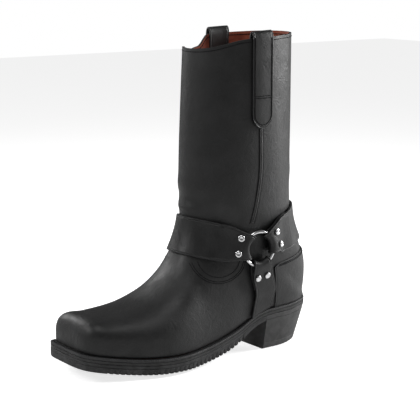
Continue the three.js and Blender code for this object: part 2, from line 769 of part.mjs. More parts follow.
/** The drop strap's way from a ring down the side to the welt. */
class DropWay {
  constructor(side) {
    this.side = side;
    this.length = RING_HEIGHT - last.height(RING_X);
    const runs = DROP_LINE.map((row) => row.down * this.length);
    const scaled = (name) => DROP_LINE.map((row) => row[name] * DROP_STRAP_WIDTH);
    this.bend = curveThrough(runs, scaled("shift"));
    this.half = curveThrough(runs, scaled("half"));
    this.along = point(this.shift(RING_RADIUS), 0, -RING_RADIUS).normalize();
    this.across = point(-this.along.z, 0, this.along.x);
  }

  shift(run) {
    return -this.bend(run);
  }

  at(run, step) {
    const x = RING_X + this.shift(run) + step * this.across.x;
    const floor = last.height(x) + STRAP_THICKNESS;
    const z = Math.max(RING_HEIGHT - run + step * this.across.z, floor);
    return rays.meet(point(x, 0, z), point(0, this.side, 0));
  }
}

const instepTarget = rays.meet(point(RING_X, 0, INSTEP_STRAP_HEIGHT), point(1, 0, 0)).place;
const heelTarget = rays.meet(point(RING_X, 0, HEEL_STRAP_HEIGHT), point(-1, 0, 0)).place;
const instepWay = new RoundWay(instepTarget, INSTEP_STRAP_WIDTH, 0);
const heelWay = new RoundWay(heelTarget, HEEL_STRAP_WIDTH, HEEL_STRAP_BOW);
const WAYS = {
  outer: { instep: instepWay, heel: heelWay, drop: new DropWay(1) },
  inner: { instep: new ReversedWay(instepWay), heel: new ReversedWay(heelWay), drop: new DropWay(-1) },
};

const LOW = STRAP_LIFT + STRAP_THICKNESS / 2; // a strap's middle where it lies on the skin
const HIGH = LOW + STRAP_THICKNESS + GAP; // and where it lies on its own folded end

/** One ring: it hangs in the folds of three straps, just off the side of the boot. */
class Ring {
  constructor(ways, side) {
    const marks = Object.values(ways).map((way) => {
      const { place, normal } = way.at(RING_RADIUS, 0);
      return place.addScaledVector(normal, LOW + FOLD_RADIUS + RING_LIFT);
    });
    const [a, b, c] = marks;
    this.normal = b.clone().sub(a).cross(c.clone().sub(a)).normalize();
    if (this.normal.y * side < 0) this.normal.negate();
    const off = a.clone().sub(point(RING_X, 0, RING_HEIGHT)).dot(this.normal);
    this.middle = point(RING_X, off / this.normal.y, RING_HEIGHT);
  }

  /** Directions along and across a strap, in the ring's own plane. */
  frame(way) {
    const away = way.at(RING_RADIUS + 8, 0).place.sub(this.middle);
    const along = away.projectOnPlane(this.normal).normalize();
    const across = this.normal.clone().cross(along).normalize();
    if (across.dot(way.across) < 0) across.negate();
    return { along, across };
  }

  geometry() {
    const across = this.normal;
    const [u, v] = [point(0, 0, 1).projectOnPlane(across).normalize(), point(0, 0, 0)];
    v.crossVectors(across, u);
    const rings = Array.from({ length: RING_POINTS }, (_, i) => {
      const angle = (i / RING_POINTS) * 2 * Math.PI;
      const out = u.clone().multiplyScalar(Math.cos(angle)).addScaledVector(v, Math.sin(angle));
      return Array.from({ length: WIRE_POINTS }, (_, j) => {
        const turn = (j / WIRE_POINTS) * 2 * Math.PI;
        return this.middle
          .clone()
          .addScaledVector(out, RING_RADIUS + (RING_WIRE / 2) * Math.cos(turn))
          .addScaledVector(across, (RING_WIRE / 2) * Math.sin(turn));
      });
    });
    return loft(rings, true).geometry();
  }
}

const RINGS = { outer: new Ring(WAYS.outer, 1), inner: new Ring(WAYS.inner, -1) };

// A strap's way through the fold and back over it: run past the wire and height of its middle
const FOLD_HEIGHTS = [
  { past: 2.5 * FOLD_RADIUS, height: HIGH + STRAP_THICKNESS / 2 },
  { past: 0.57 * TUCK_LENGTH, height: HIGH },
  { past: TUCK_LENGTH, height: HIGH },
  { past: TUCK_LENGTH + TUCK_STEP / 2, height: lerp(LOW, HIGH, 0.7) },
  { past: TUCK_LENGTH + TUCK_STEP, height: LOW },
];
const TUCK_SHARES = [1, 0.68, 0.39, 0.14];
const ACROSS = [-1, -0.5, 0, 0.5, 1];
const STRAP_START = RING_RADIUS + TUCK_LENGTH + TUCK_STEP; // from the ring's middle

function offSkin(way, run, share, height, half = way.half(run)) {
  const { place, normal } = way.at(run, share * half);
  return place.addScaledVector(normal, height);
}

/** Rows of a strap's end, from the tucked end round the wire and back over it. */
function foldRows(way, ring, fold) {
  const { along, across } = ring.frame(way);
  const width = fold.half * RING_RADIUS;
  const half = (run) => lerp(width, way.half(run), smoothstep(run - RING_RADIUS, 0, 3 * FOLD_RADIUS));
  const tucked = TUCK_SHARES.map((part) => {
    const run = RING_RADIUS + part * TUCK_LENGTH;
    return ACROSS.map((share) => offSkin(way, run, share, LOW, half(run)));
  });
  const wrap = Array.from({ length: 7 }, (_, i) => {
    const turn = lerp(-Math.PI / 2, Math.PI / 2, i / 6);
    return ACROSS.map((share) => {
      const swing = Math.asin(share * fold.half);
      const bend = FOLD_RADIUS + (RING_WIRE / 2) * (1 / Math.cos(swing) - 1);
      return ring.middle
        .clone()
        .addScaledVector(along, RING_RADIUS * Math.cos(swing) - bend * Math.cos(turn))
        .addScaledVector(across, RING_RADIUS * Math.sin(swing) * (1 - 0.13 * Math.cos(turn)))
        .addScaledVector(ring.normal, FOLD_RADIUS * Math.sin(turn));
    });
  });
  const bent = RING_RADIUS + 1.2 * FOLD_RADIUS;
  const shoulder = ACROSS.map((share) =>
    ring.middle
      .clone()
      .addScaledVector(along, bent)
      .addScaledVector(across, share * half(bent))
      .addScaledVector(ring.normal, 0.36 * FOLD_RADIUS),
  );
  const over = FOLD_HEIGHTS.map(({ past, height }) => {
    const run = RING_RADIUS + past;
    return ACROSS.map((share) => offSkin(way, run, share, height, half(run)));
  });
  return [...tucked, ...wrap, shoulder, ...over];
}

/** A leather strip of even thickness whose middle follows rows of points. */
function strip(rows, thickness) {
  const at = (i, j) => rows[clamp(i, 0, rows.length - 1)][clamp(j, 0, rows[0].length - 1)];
  const side = (sign) =>
    rows.map((row, i) =>
      row.map((p, j) => {
        const along = at(i + 1, j).clone().sub(at(i - 1, j));
        const across = at(i, j + 1).clone().sub(at(i, j - 1));
        const normal = along.cross(across).normalize();
        return p.clone().addScaledVector(normal, (sign * thickness) / 2);
      }),
    );
  return slab(side(1), side(-1)).geometry();
}

/** A strap round the leg, folded round a ring at both ends. */
function roundStrap(name) {
  const fold = FOLDS[name];
  const way = WAYS.outer[name];
  const count = Math.round((way.length - 2 * STRAP_START) / STRAP_PITCH);
  const middle = Array.from({ length: count - 1 }, (_, i) => {
    const run = lerp(STRAP_START, way.length - STRAP_START, (i + 1) / count);
    return ACROSS.map((share) => offSkin(way, run, share, LOW));
  });
  const start = foldRows(way, RINGS.outer, fold);
  const end = foldRows(WAYS.inner[name], RINGS.inner, fold);
  return strip([...start, ...middle, ...end.reverse()], STRAP_THICKNESS);
}

/** A strap from a ring down to the welt. */
function dropStrap(which) {
  const way = WAYS[which].drop;
  const start = foldRows(way, RINGS[which], FOLDS.drop);
  const foot = 0.9 * way.length;
  const tails = ACROSS.map((share) => {
    const x = RING_X + way.shift(foot) + share * way.half(foot);
    return RING_HEIGHT - last.height(x) - STRAP_THICKNESS - GAP;
  });
  const rest = [0.35, 0.7, 1].map((part) =>
    ACROSS.map((share, j) => offSkin(way, lerp(STRAP_START, tails[j], part), share, LOW)),
  );
  return strip([...start, ...rest], STRAP_THICKNESS);
}

/** A domed stud with a dimple in its middle, set on a strap near the ring. */
function stud(strapRays, ring, way, run, step) {
  const { along, across } = ring.frame(way);
  const target = ring.middle.clone().addScaledVector(along, run).addScaledVector(across, step);
  const spots = [0, 1, 2, 3, 4, 5, 6, 7].map((i) => {
    const angle = (i / 4) * Math.PI;
    const out = along.clone().multiplyScalar(Math.cos(angle)).addScaledVector(across, Math.sin(angle));
    return strapRays.meet(target.clone().addScaledVector(out, STUD_RADIUS), ring.normal).place;
  });
  const u = spots[0].clone().sub(spots[4]).normalize();
  const up = u.clone().cross(spots[2].clone().sub(spots[6])).normalize();
  if (up.dot(ring.normal) < 0) up.negate();
  const v = up.clone().cross(u);
  const middle = strapRays.meet(target, ring.normal).place;
  const rise = Math.max(0, ...spots.map((spot) => spot.clone().sub(middle).dot(up)));
  const base = middle.clone().addScaledVector(up, rise + 2 * GAP);
  const profile = [
    [1, 0],
    [0.93, 0.5],
    [0.55, 0.95],
    [0.15, 0.5],
  ];
  const rings = profile.map(([out, rise]) =>
    Array.from({ length: STUD_POINTS }, (_, i) => {
      const angle = (i / STUD_POINTS) * 2 * Math.PI;
      return base
        .clone()
        .addScaledVector(u, out * STUD_RADIUS * Math.cos(angle))
        .addScaledVector(v, out * STUD_RADIUS * Math.sin(angle))
        .addScaledVector(up, rise * STUD_HEIGHT);
    }),
  );
  return loft(rings).geometry();
}

/** A block seen from the side: a polygon in X and Z, from one Y to another. */
function sideBlock(corners, from, to) {
  const shape = new THREE.Shape(corners.map(([x, z]) => new THREE.Vector2(x, z)));
  const block = new THREE.ExtrudeGeometry(shape, { depth: to - from, bevelEnabled: false });
  block.rotateX(Math.PI / 2);
  block.translate(0, to, 0);
  const solid = new Solid();
  const corner = block.getAttribute("position");
  for (let i = 0; i < corner.count; i += 3) {
    solid.face(...[0, 1, 2].map((k) => new THREE.Vector3().fromBufferAttribute(corner, i + k)));
  }
  return solid.geometry();
}

/** The counter: an overlay round the heel, under the heel strap. */
function counter() {
  const top = COUNTER_CORNERS.map(({ along, up }) => [along * COUNTER_LENGTH, up * COUNTER_HEIGHT]);
  const [[front], [back]] = [top[0], top[top.length - 1]];
  const low = Array.from({ length: 13 }, (_, i) => lerp(back, front, i / 12)).map((x) => [
    x,
    last.height(Math.max(x, 0)) + GAP,
  ]);
  const region = sideBlock([...low, ...top], -SHAFT_WIDTH, SHAFT_WIDTH);
  return combine(skin.shell(COUNTER_THICKNESS + GAP, GAP), "intersect", region);
}

/** A raised seam down one side of the leg, from the pull strap to the harness. */
function sideSeam(side) {
  const half = SEAM_WIDTH / 2;
  const top = COLLAR_HEIGHT - PULL_OUTER_DROP - SEAM_WIDTH;
  const low = RING_HEIGHT + RING_RADIUS + FOLD_RADIUS + STRAP_THICKNESS;
  const line = SEAM_LINE.map(({ up, over }) => [
    lerp(SEAM_TOP_X, SEAM_LOW_X, over),
    lerp(low, top, up),
  ]);
  const edges = [
    ...line.map(([x, z]) => [x + half, z]),
    ...line.reverse().map(([x, z]) => [x - half, z]),
  ];
  const [near, far] = [0.1 * SHAFT_WIDTH, SHAFT_WIDTH];
  const region = side > 0 ? sideBlock(edges, near, far) : sideBlock(edges, -far, -near);
  return combine(skin.shell(SEAM_THICKNESS + GAP, GAP), "intersect", region);
}

/** A pull strap: up the outside, in a loop over the collar and down the inside. */
function pullStrap(which) {
  const side = which === "outer" ? 1 : -1;
  const middle = PULL_X[which];
  const lie = PULL_THICKNESS / 2 + STRAP_LIFT;
  const spot = (x, z, height) => {
    const { place, normal } = rays.meet(point(x, 0, z), point(0, side, 0));
    return place.addScaledVector(normal, height);
  };
  const columns = ACROSS.map((share) => {
    const x = middle + share * (PULL_WIDTH / 2);
    const rim = rimHeight(x);
    const round = (PULL_WIDTH / 2) * (1 - Math.sqrt(1 - (0.96 * share) ** 2));
    const drops = PULL_OUTSIDE.map((part) => part * PULL_OUTER_DROP);
    const outside = [PULL_OUTER_DROP - round, ...drops].map((drop) => spot(x, rim - drop, lie));
    const inside = PULL_INSIDE.map((part) =>
      spot(x, rim - part * PULL_INNER_DROP, -UPPER_WALL - lie),
    );
    const edge = spot(x, rim - UPPER_WALL, -UPPER_WALL / 2);
    const reach = UPPER_WALL / 2 + lie;
    const over = [0, 30, 60, 90, 120, 150, 180].map((degrees) => {
      const angle = THREE.MathUtils.degToRad(degrees);
      const rise = (PULL_RISE - PULL_THICKNESS / 2) * Math.sin(angle);
      return point(edge.x, edge.y + side * reach * Math.cos(angle), rim + rise);
    });
    return [...outside, ...over, ...inside];
  });
  const rows = columns[0].map((_, i) => column(columns, i));
  return strip(rows, PULL_THICKNESS);
}

/** Height of the collar's edge at x on the side of the shaft. */
function rimHeight(x) {
  const rim = skin.rows[skin.rows.length - 1];
  const side = rim.slice(0, SECTION_POINTS / 2 + 1);
  const next = side.findIndex((p) => p.x > x);
  const [a, b] = [side[next - 1], side[next]];
  return lerp(a.z, b.z, (x - a.x) / (b.x - a.x));
}

const LEATHER = { color: 0x1b1a1a, roughness: 0.6 };
const METAL = { color: 0xd8dadd, roughness: 0.25, metalness: 1 };
const RUBBER = { color: 0x3a3a3b, roughness: 0.8 };

const boot = new THREE.Group();
boot.name = "harness_boot";

/** Adds one named piece. */
function addPiece(name, geometry, finish) {
  const mesh = new THREE.Mesh(geometry, new THREE.MeshStandardMaterial(finish));
  mesh.name = name;
  mesh.position.x = -HEEL_MIDDLE;
  boot.add(mesh);
}

addPiece("outsole", outsole(), RUBBER);
addPiece("midsole", evenLayer(WELT_THICKNESS + GAP, MIDSOLE_THICKNESS, 0, 0), LEATHER);
addPiece("welt", welt(), LEATHER);
addPiece("heel", heel(), RUBBER);
const insoleEdge = [WELT_EDGE + WELT_LEDGE + GAP, HEEL_WELT_EDGE + WELT_LEDGE + GAP];
const insoleTop = WELT_THICKNESS - INSOLE_THICKNESS - GAP;
addPiece("insole", evenLayer(insoleTop, INSOLE_THICKNESS, ...insoleEdge), LEATHER);
addPiece("upper", skin.shell(0, -UPPER_WALL), LEATHER);
addPiece("counter", counter(), LEATHER);
const [instepStrap, heelStrap] = ["instep", "heel"].map(roundStrap);
addPiece("strap_instep", instepStrap, LEATHER);
addPiece("strap_heel", heelStrap, LEATHER);

Object.entries({ outer: 1, inner: -1 }).forEach(([which, side]) => {
  const straps = { instep: instepStrap, heel: heelStrap, drop: dropStrap(which) };
  addPiece(`strap_drop_${which}`, straps.drop, LEATHER);
  addPiece(`ring_${which}`, RINGS[which].geometry(), METAL);
  addPiece(`side_seam_${which}`, sideSeam(side), LEATHER);
  addPiece(`pull_strap_${which}`, pullStrap(which), LEATHER);
  Object.entries(FOLDS).forEach(([name, fold]) => {
    const strapRays = new Rays(straps[name]);
    const run = RING_RADIUS + fold.stud * TUCK_LENGTH;
    const step = (fold.step * (name === "drop" ? DROP_STRAP_WIDTH : RING_END_WIDTH)) / 2;
    [1, -1].forEach((sign, i) => {
      const place = [WAYS[which][name], run, sign * step];
      const geometry = stud(strapRays, RINGS[which], ...place);
      addPiece(`stud_${name}_${which}_${i + 1}`, geometry, METAL);
    });
  });
});

export default boot;
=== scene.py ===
"""Dresses a left harness boot: leather, lining, thread, welted sole and metal, with camera and studio.

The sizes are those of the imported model, in metres. X is given from the back of the heel seat where a
comment says so, and moved to the frame's origin when a mesh is made.
"""

import logging
import math
from dataclasses import dataclass, field
from enum import Enum
from functools import partial
from typing import Callable, Iterable, Optional, Sequence

import bmesh
import bpy
import numpy as np
from mathutils import Matrix, Vector
from mathutils.bvhtree import BVHTree
from mathutils.kdtree import KDTree


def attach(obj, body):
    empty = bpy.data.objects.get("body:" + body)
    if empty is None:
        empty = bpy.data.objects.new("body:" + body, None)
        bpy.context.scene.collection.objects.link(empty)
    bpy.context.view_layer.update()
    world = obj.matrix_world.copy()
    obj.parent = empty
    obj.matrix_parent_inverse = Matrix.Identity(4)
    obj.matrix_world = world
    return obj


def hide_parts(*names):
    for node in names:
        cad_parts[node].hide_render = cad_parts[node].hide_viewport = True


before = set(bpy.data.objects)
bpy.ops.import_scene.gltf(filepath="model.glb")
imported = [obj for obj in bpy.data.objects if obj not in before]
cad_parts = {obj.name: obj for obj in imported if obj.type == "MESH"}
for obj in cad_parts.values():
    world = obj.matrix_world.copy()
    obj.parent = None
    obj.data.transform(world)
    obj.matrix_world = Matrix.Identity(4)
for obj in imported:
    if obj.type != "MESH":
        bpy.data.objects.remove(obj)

LOG = logging.getLogger("boot")
MM = 0.001
SEAT_X = -45.5 * MM  # X of the back of the heel seat in the frame
BODY = "root"
SHARP = math.radians(50)  # edges over this angle are cut edges
FAR = 0.4  # further out than any part of the boot is wide

Colour = tuple[float, float, float]
Curve = Callable[[np.ndarray], np.ndarray]


class Slot(Enum):
    """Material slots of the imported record."""

    UPPER = "upper_leather"
    STRAP = "strap_leather"
    WELT = "welt_leather"
    MIDSOLE = "midsole_leather"
    OUTSOLE = "outsole_rubber"
    HEEL = "heel_rubber"
    METAL = "hardware"


class Side(Enum):
    """Sides of the boot, as the sign of Y."""

    OUTER = 1
    INNER = -1


def smoothstep(value: np.ndarray, low: float, high: float) -> np.ndarray:
    """Eases from 0 at low to 1 at high."""
    share = np.clip((np.asarray(value, float) - low) / (high - low), 0, 1)
    return share * share * (3 - 2 * share)


def mix(first: float, second: float, share: float) -> float:
    """Blends two values."""
    return first * (1 - share) + second * share


def curve_through(places: Sequence[float], values: Sequence[float]) -> Curve:
    """Makes a smooth curve through values given at rising places.

    Args:
        places: Rising places.
        values: The value at each of them.

    Returns:
        A function of an array of places.
    """
    at = np.asarray(places, float)
    known = np.asarray(values, float)
    steps = np.diff(at)
    slopes = np.diff(known) / steps
    inner = (slopes[1:] * steps[:-1] + slopes[:-1] * steps[1:]) / (steps[:-1] + steps[1:])
    tangents = np.concatenate([slopes[:1], inner, slopes[-1:]])

    def curve(place: np.ndarray) -> np.ndarray:
        """Finds the curve's values.

        Args:
            place: Places along the curve.

        Returns:
            The value at each.
        """
        place = np.asarray(place, float)
        i = np.clip(np.searchsorted(at, place, side="left") - 1, 0, len(steps) - 1)
        t = (place - at[i]) / steps[i]
        rest = 1 - t
        bend = steps[i] * t * rest * (rest * tangents[i] - t * tangents[i + 1])
        return (1 + 2 * t) * rest**2 * known[i] + t**2 * (3 - 2 * t) * known[i + 1] + bend

    return curve


def put(socket: bpy.types.NodeSocket, value: object) -> None:
    """Joins a socket to another, or sets its value.

    Args:
        socket: The input.
        value: A socket or a plain value.
    """
    if isinstance(value, bpy.types.NodeSocket):
        socket.id_data.links.new(value, socket)
    else:
        socket.default_value = value


def add_node(
    tree: bpy.types.NodeTree, kind: str, inputs: Optional[dict] = None, **settings: object
) -> bpy.types.Node:
    """Adds a node to a tree.

    Args:
        tree: The tree.
        kind: The node's type.
        inputs: Value, or socket to join, for each named input.
        **settings: Properties of the node.

    Returns:
        The node.
    """
    node = tree.nodes.new(kind)
    for name, value in settings.items():
        setattr(node, name, value)
    for name, value in (inputs or {}).items():
        put(node.inputs[name], value)
    return node


class NodeTree:
    """Adds and joins the nodes of one material."""

    def __init__(self, name: str) -> None:
        """Starts a material with a plain shader.

        Args:
            name: The material's name.
        """
        self.material = bpy.data.materials.new(name)
        self.material.use_nodes = True
        self.tree = self.material.node_tree
        self.shader = self.tree.nodes["Principled BSDF"]
        self.place = self.add("ShaderNodeTexCoord").outputs["Object"]

    def add(self, kind: str, inputs: Optional[dict] = None, **settings: object) -> bpy.types.Node:
        """Adds a node to the material."""
        return add_node(self.tree, kind, inputs, **settings)

    def noise(self, size: float, detail: float = 3, distortion: float = 0) -> bpy.types.NodeSocket:
        """Noise whose patches have a given size in metres."""
        inputs = {"Vector": self.place, "Scale": 1 / size, "Detail": detail, "Distortion": distortion}
        return self.add("ShaderNodeTexNoise", inputs).outputs[0]

    def cells(self, size: float) -> bpy.types.NodeSocket:
        """Distance to the middle of cells of a given size in metres."""
        inputs = {"Vector": self.place, "Scale": 1 / size}
        return self.add("ShaderNodeTexVoronoi", inputs).outputs["Distance"]

    def ranged(
        self, value: bpy.types.NodeSocket, source: tuple[float, float], target: tuple[float, float]
    ) -> bpy.types.NodeSocket:
        """Maps one range of a value to another, held at its ends.

        Args:
            value: The value's socket.
            source: Its lowest and highest value.
            target: What they become.

        Returns:
            The socket of the new value.
        """
        names = ["From Min", "From Max", "To Min", "To Max"]
        inputs = dict(zip(names, [*source, *target]))
        return self.add("ShaderNodeMapRange", {"Value": value, **inputs}).outputs["Result"]

    def blend(self, share: bpy.types.NodeSocket, first: object, second: object) -> bpy.types.NodeSocket:
        """Blends two colours.

        Args:
            share: Share of the second colour.
            first: A colour or a socket.
            second: A colour or a socket.

        Returns:
            The socket of the blended colour.
        """
        node = self.add("ShaderNodeMix", data_type="RGBA")
        put(node.inputs[0], share)
        for socket, colour in ((node.inputs[6], first), (node.inputs[7], second)):
            put(socket, (*colour, 1) if isinstance(colour, tuple) else colour)
        return node.outputs[2]

    def maths(self, operation: str, first: object, second: object = 0.0) -> bpy.types.NodeSocket:
        """Works out one sum of two values."""
        return self.add("ShaderNodeMath", {0: first, 1: second}, operation=operation).outputs[0]

    def bump(
        self, height: bpy.types.NodeSocket, depth: float, before: Optional[bpy.types.NodeSocket] = None
    ) -> bpy.types.NodeSocket:
        """Raises the surface by a pattern.

        Args:
            height: The pattern, from 0 to 1.
            depth: Its height in metres.
            before: An earlier bump's normal.

        Returns:
            The socket of the normal.
        """
        inputs = {"Height": height, "Distance": depth, "Strength": 1.0}
        if before is not None:
            inputs["Normal"] = before
        return self.add("ShaderNodeBump", inputs).outputs["Normal"]

    def finish(self, **values: object) -> bpy.types.Material:
        """Sets the shader's inputs.

        Args:
            **values: Each input's value or socket, with spaces in its name written as underscores.

        Returns:
            The material.
        """
        for name, value in values.items():
            socket = self.shader.inputs[name.replace("_", " ")]
            put(socket, (*value, 1) if isinstance(value, tuple) else value)
        return self.material


@dataclass(frozen=True)
class Leather:
    """Oiled leather with pores, soft wrinkles and rubbed lighter patches."""

    name: str
    colour: Colour = (0.0062, 0.0064, 0.0064)
    rubbed: Colour = (0.0125, 0.0125, 0.0128)
    roughness: float = 0.5
    patch: float = 42 * MM
    gloss_patch: float = 17 * MM
    wrinkle: float = 9 * MM
    wrinkle_depth: float = 0.45 * MM
    pore: float = 1.1 * MM
    pore_depth: float = 0.09 * MM
    grain: float = 0.5 * MM
    grain_depth: float = 0.05 * MM
    coat: float = 0.05
    edge_line: float = 0.0  # how far in from its cut edge the leather is creased
    line_depth: float = 0.4 * MM
    # Painted shade: the crease line's colour is darker, as the shade in its groove.
    crease_shade_colour: Colour = (0.003, 0.003, 0.003)
    # The cut edges' colour is their own tone lifted by a painted highlight.
    cut_tone_and_highlight: Colour = (0.026, 0.026, 0.027)

    def material(self) -> bpy.types.Material:
        """Builds the material.

        Returns:
            The material.
        """
        tree = NodeTree(self.name)
        rubbing = tree.ranged(tree.noise(self.patch, 4, 0.6), (0.42, 0.68), (0, 1))
        colour = tree.blend(rubbing, self.colour, self.rubbed)
        gloss = tree.ranged(tree.noise(self.gloss_patch, 3), (0.35, 0.65), (-0.06, 0.07))
        roughness = tree.maths("ADD", gloss, self.roughness)
        normal = tree.bump(tree.noise(self.wrinkle, 5, 1.2), self.wrinkle_depth)
        normal = tree.bump(tree.cells(self.pore), self.pore_depth, normal)
        normal = tree.bump(tree.noise(self.grain, 2), self.grain_depth, normal)
        if self.edge_line:
            edge = tree.add("ShaderNodeAttribute", attribute_name="edge").outputs["Fac"]
            off = tree.maths("ABSOLUTE", tree.maths("SUBTRACT", edge, self.edge_line))
            line = tree.ranged(off, (0.15 * MM, 0.7 * MM), (0, 1))
            normal = tree.bump(line, self.line_depth, normal)
            # Painted shade: the crease line is coloured darker, as the shade in its groove.
            colour = tree.blend(line, self.crease_shade_colour, colour)
            # Painted highlight: the cut edges are coloured lighter, their own tone lifted by the light they
            # catch.
            cut = tree.ranged(edge, (0.3 * MM, 1.1 * MM), (1, 0))
            colour = tree.blend(cut, colour, self.cut_tone_and_highlight)
        return tree.finish(
            Base_Color=colour, Roughness=roughness, Normal=normal, Coat_Weight=self.coat, Coat_Roughness=0.32
        )


@dataclass(frozen=True)
class Lining:
    """Unfinished reddish lining leather, a little fibrous."""

    name: str
    colour: Colour = (0.24, 0.047, 0.022)
    pale: Colour = (0.36, 0.092, 0.046)
    patch: float = 14 * MM
    ripple: float = 3 * MM
    ripple_depth: float = 0.25 * MM
    fibre: float = 0.4 * MM
    fibre_depth: float = 0.07 * MM

    def material(self) -> bpy.types.Material:
        """Builds the material.

        Returns:
            The material.
        """
        tree = NodeTree(self.name)
        patches = tree.ranged(tree.noise(self.patch, 5, 0.8), (0.35, 0.7), (0, 1))
        normal = tree.bump(tree.noise(self.ripple, 4), self.ripple_depth)
        normal = tree.bump(tree.noise(self.fibre, 2), self.fibre_depth, normal)
        colour = tree.blend(patches, self.colour, self.pale)
        return tree.finish(Base_Color=colour, Roughness=0.82, Normal=normal, Sheen_Weight=0.15)


@dataclass(frozen=True)
class Rubber:
    """Matt moulded rubber or edge-dressed sole leather."""

    name: str
    colour: Colour
    dusty: Colour
    roughness: float = 0.68
    dust_patch: float = 11 * MM
    gloss_patch: float = 4 * MM
    swell: float = 2.6 * MM
    swell_depth: float = 0.14 * MM
    speckle: float = 0.55 * MM
    speckle_depth: float = 0.07 * MM

    def material(self) -> bpy.types.Material:
        """Builds the material.

        Returns:
            The material.
        """
        tree = NodeTree(self.name)
        dust = tree.ranged(tree.noise(self.dust_patch, 5, 0.5), (0.4, 0.7), (0, 1))
        gloss = tree.ranged(tree.noise(self.gloss_patch, 3), (0.3, 0.7), (-0.07, 0.07))
        normal = tree.bump(tree.noise(self.swell, 3), self.swell_depth)
        normal = tree.bump(tree.cells(self.speckle), self.speckle_depth, normal)
        return tree.finish(
            Base_Color=tree.blend(dust, self.colour, self.dusty),
            Roughness=tree.maths("ADD", gloss, self.roughness),
            Normal=normal,
        )


@dataclass(frozen=True)
class Thread:
    """Waxed black thread, twisted."""

    name: str
    colour: Colour = (0.004, 0.004, 0.0045)
    pale: Colour = (0.012, 0.012, 0.013)
    fibre: float = 0.35 * MM
    fibre_depth: float = 0.08 * MM

    def material(self) -> bpy.types.Material:
        """Builds the material.

        Returns:
            The material.
        """
        tree = NodeTree(self.name)
        fibres = tree.noise(self.fibre, 2)
        tone = tree.blend(tree.ranged(fibres, (0.4, 0.7), (0, 1)), self.colour, self.pale)
        normal = tree.bump(fibres, self.fibre_depth)
        return tree.finish(Base_Color=tone, Roughness=0.85, Specular_IOR_Level=0.25, Normal=normal)


@dataclass(frozen=True)
class Metal:
    """Bright nickel plate with fine handling marks."""

    name: str
    colour: Colour = (0.86, 0.86, 0.87)
    dull: Colour = (0.7, 0.7, 0.71)
    roughness: float = 0.16
    mark: float = 2.2 * MM
    mark_depth: float = 0.03 * MM

    def material(self) -> bpy.types.Material:
        """Builds the material.

        Returns:
            The material.
        """
        tree = NodeTree(self.name)
        marks = tree.noise(self.mark, 5, 1.5)
        roughness = tree.ranged(marks, (0.35, 0.7), (self.roughness - 0.05, self.roughness + 0.12))
        tone = tree.blend(tree.ranged(marks, (0.5, 0.8), (0, 1)), self.colour, self.dull)
        normal = tree.bump(marks, self.mark_depth)
        return tree.finish(Base_Color=tone, Metallic=1.0, Roughness=roughness, Normal=normal)


@dataclass(frozen=True)
class Backdrop:
    """Pale matt floor, bright enough to look white."""

    name: str
    colour: Colour = (0.9, 0.9, 0.9)
    shade: Colour = (0.873, 0.873, 0.873)
    patch: float = 0.4
    glow: float = 0.75  # light of its own where the camera sees it

    def material(self) -> bpy.types.Material:
        """Builds the material.

        Returns:
            The material.
        """
        tree = NodeTree(self.name)
        tone = tree.blend(tree.noise(self.patch, 2), self.colour, self.shade)
        seen = tree.add("ShaderNodeLightPath").outputs["Is Camera Ray"]
        glow = tree.maths("MULTIPLY", seen, self.glow)
        white = (1.0, 1.0, 1.0)
        return tree.finish(Base_Color=tone, Roughness=0.9, Emission_Color=white, Emission_Strength=glow)


class Finishes:
    """Every finish of the boot, built once."""

    def __init__(self) -> None:
        """Builds the materials."""
        self.upper = Leather("upper_black_leather").material()
        self.strap = Leather(
            "strap_black_leather", roughness=0.46, wrinkle_depth=0.3 * MM, edge_line=2.1 * MM
        ).material()
        self.overlay = Leather("overlay_black_leather", edge_line=1.6 * MM).material()
        self.welt = Rubber("welt_black", (0.024, 0.024, 0.025), (0.042, 0.042, 0.043), 0.6).material()
        self.midsole = Rubber("midsole_black", (0.02, 0.02, 0.02), (0.036, 0.036, 0.036), 0.62).material()
        self.outsole = Rubber("outsole_black_rubber", (0.022, 0.022, 0.0225), (0.05, 0.05, 0.051)).material()
        self.heel = Rubber("heel_grey_rubber", (0.05, 0.05, 0.05), (0.075, 0.074, 0.074), 0.66).material()
        self.lining = Lining("lining_red_leather").material()
        self.thread = Thread("waxed_thread").material()
        self.metal = Metal("nickel_plate").material()


def new_object(
    name: str, points: np.ndarray, faces: Iterable[Sequence[int]], edges: Iterable = ()
) -> bpy.types.Object:
    """Makes an object from points and faces, with doubles merged and faces turned out.

    Args:
        name: The piece's name.
        points: Its points, in metres.
        faces: Its faces, as indices of points.
        edges: Loose edges, for a line.

    Returns:
        The object, in the scene.
    """
    mesh = bpy.data.meshes.new(name)
    mesh.from_pydata([tuple(point) for point in points], list(edges), [tuple(face) for face in faces])
    if len(mesh.polygons):
        work = bmesh.new()
        work.from_mesh(mesh)
        bmesh.ops.remove_doubles(work, verts=work.verts, dist=0.01 * MM)
        bmesh.ops.dissolve_degenerate(work, edges=work.edges, dist=0.002 * MM)
        bmesh.ops.recalc_face_normals(work, faces=work.faces)
        work.to_mesh(mesh)
        work.free()
    piece = bpy.data.objects.new(name, mesh)
    bpy.context.scene.collection.objects.link(piece)
    return piece


def merged_copy(node: str, name: str) -> bpy.types.Object:
    """Copies a CAD node as one joined mesh, of four-sided faces where it can be.

    Args:
        node: The node's name.
        name: The copy's name.

    Returns:
        The copy.
    """
    work = bmesh.new()
    work.from_mesh(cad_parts[node].data)
    bmesh.ops.remove_doubles(work, verts=work.verts, dist=0.02 * MM)
    bmesh.ops.join_triangles(work, faces=work.faces, angle_face_threshold=0.7, angle_shape_threshold=1.3)
    work.verts.index_update()
    points = np.array([vert.co for vert in work.verts])
    faces = [[vert.index for vert in face.verts] for face in work.faces]
    work.free()
    return new_object(name, points, faces)


def settle(piece: bpy.types.Object) -> None:
    """Turns a piece and its modifiers into a plain mesh.

    Args:
        piece: The piece, changed in place.
    """
    graph = bpy.context.evaluated_depsgraph_get()
    result = bpy.data.meshes.new_from_object(piece.evaluated_get(graph))
    before = piece.data
    piece.modifiers.clear()
    piece.data = result
    bpy.data.meshes.remove(before)


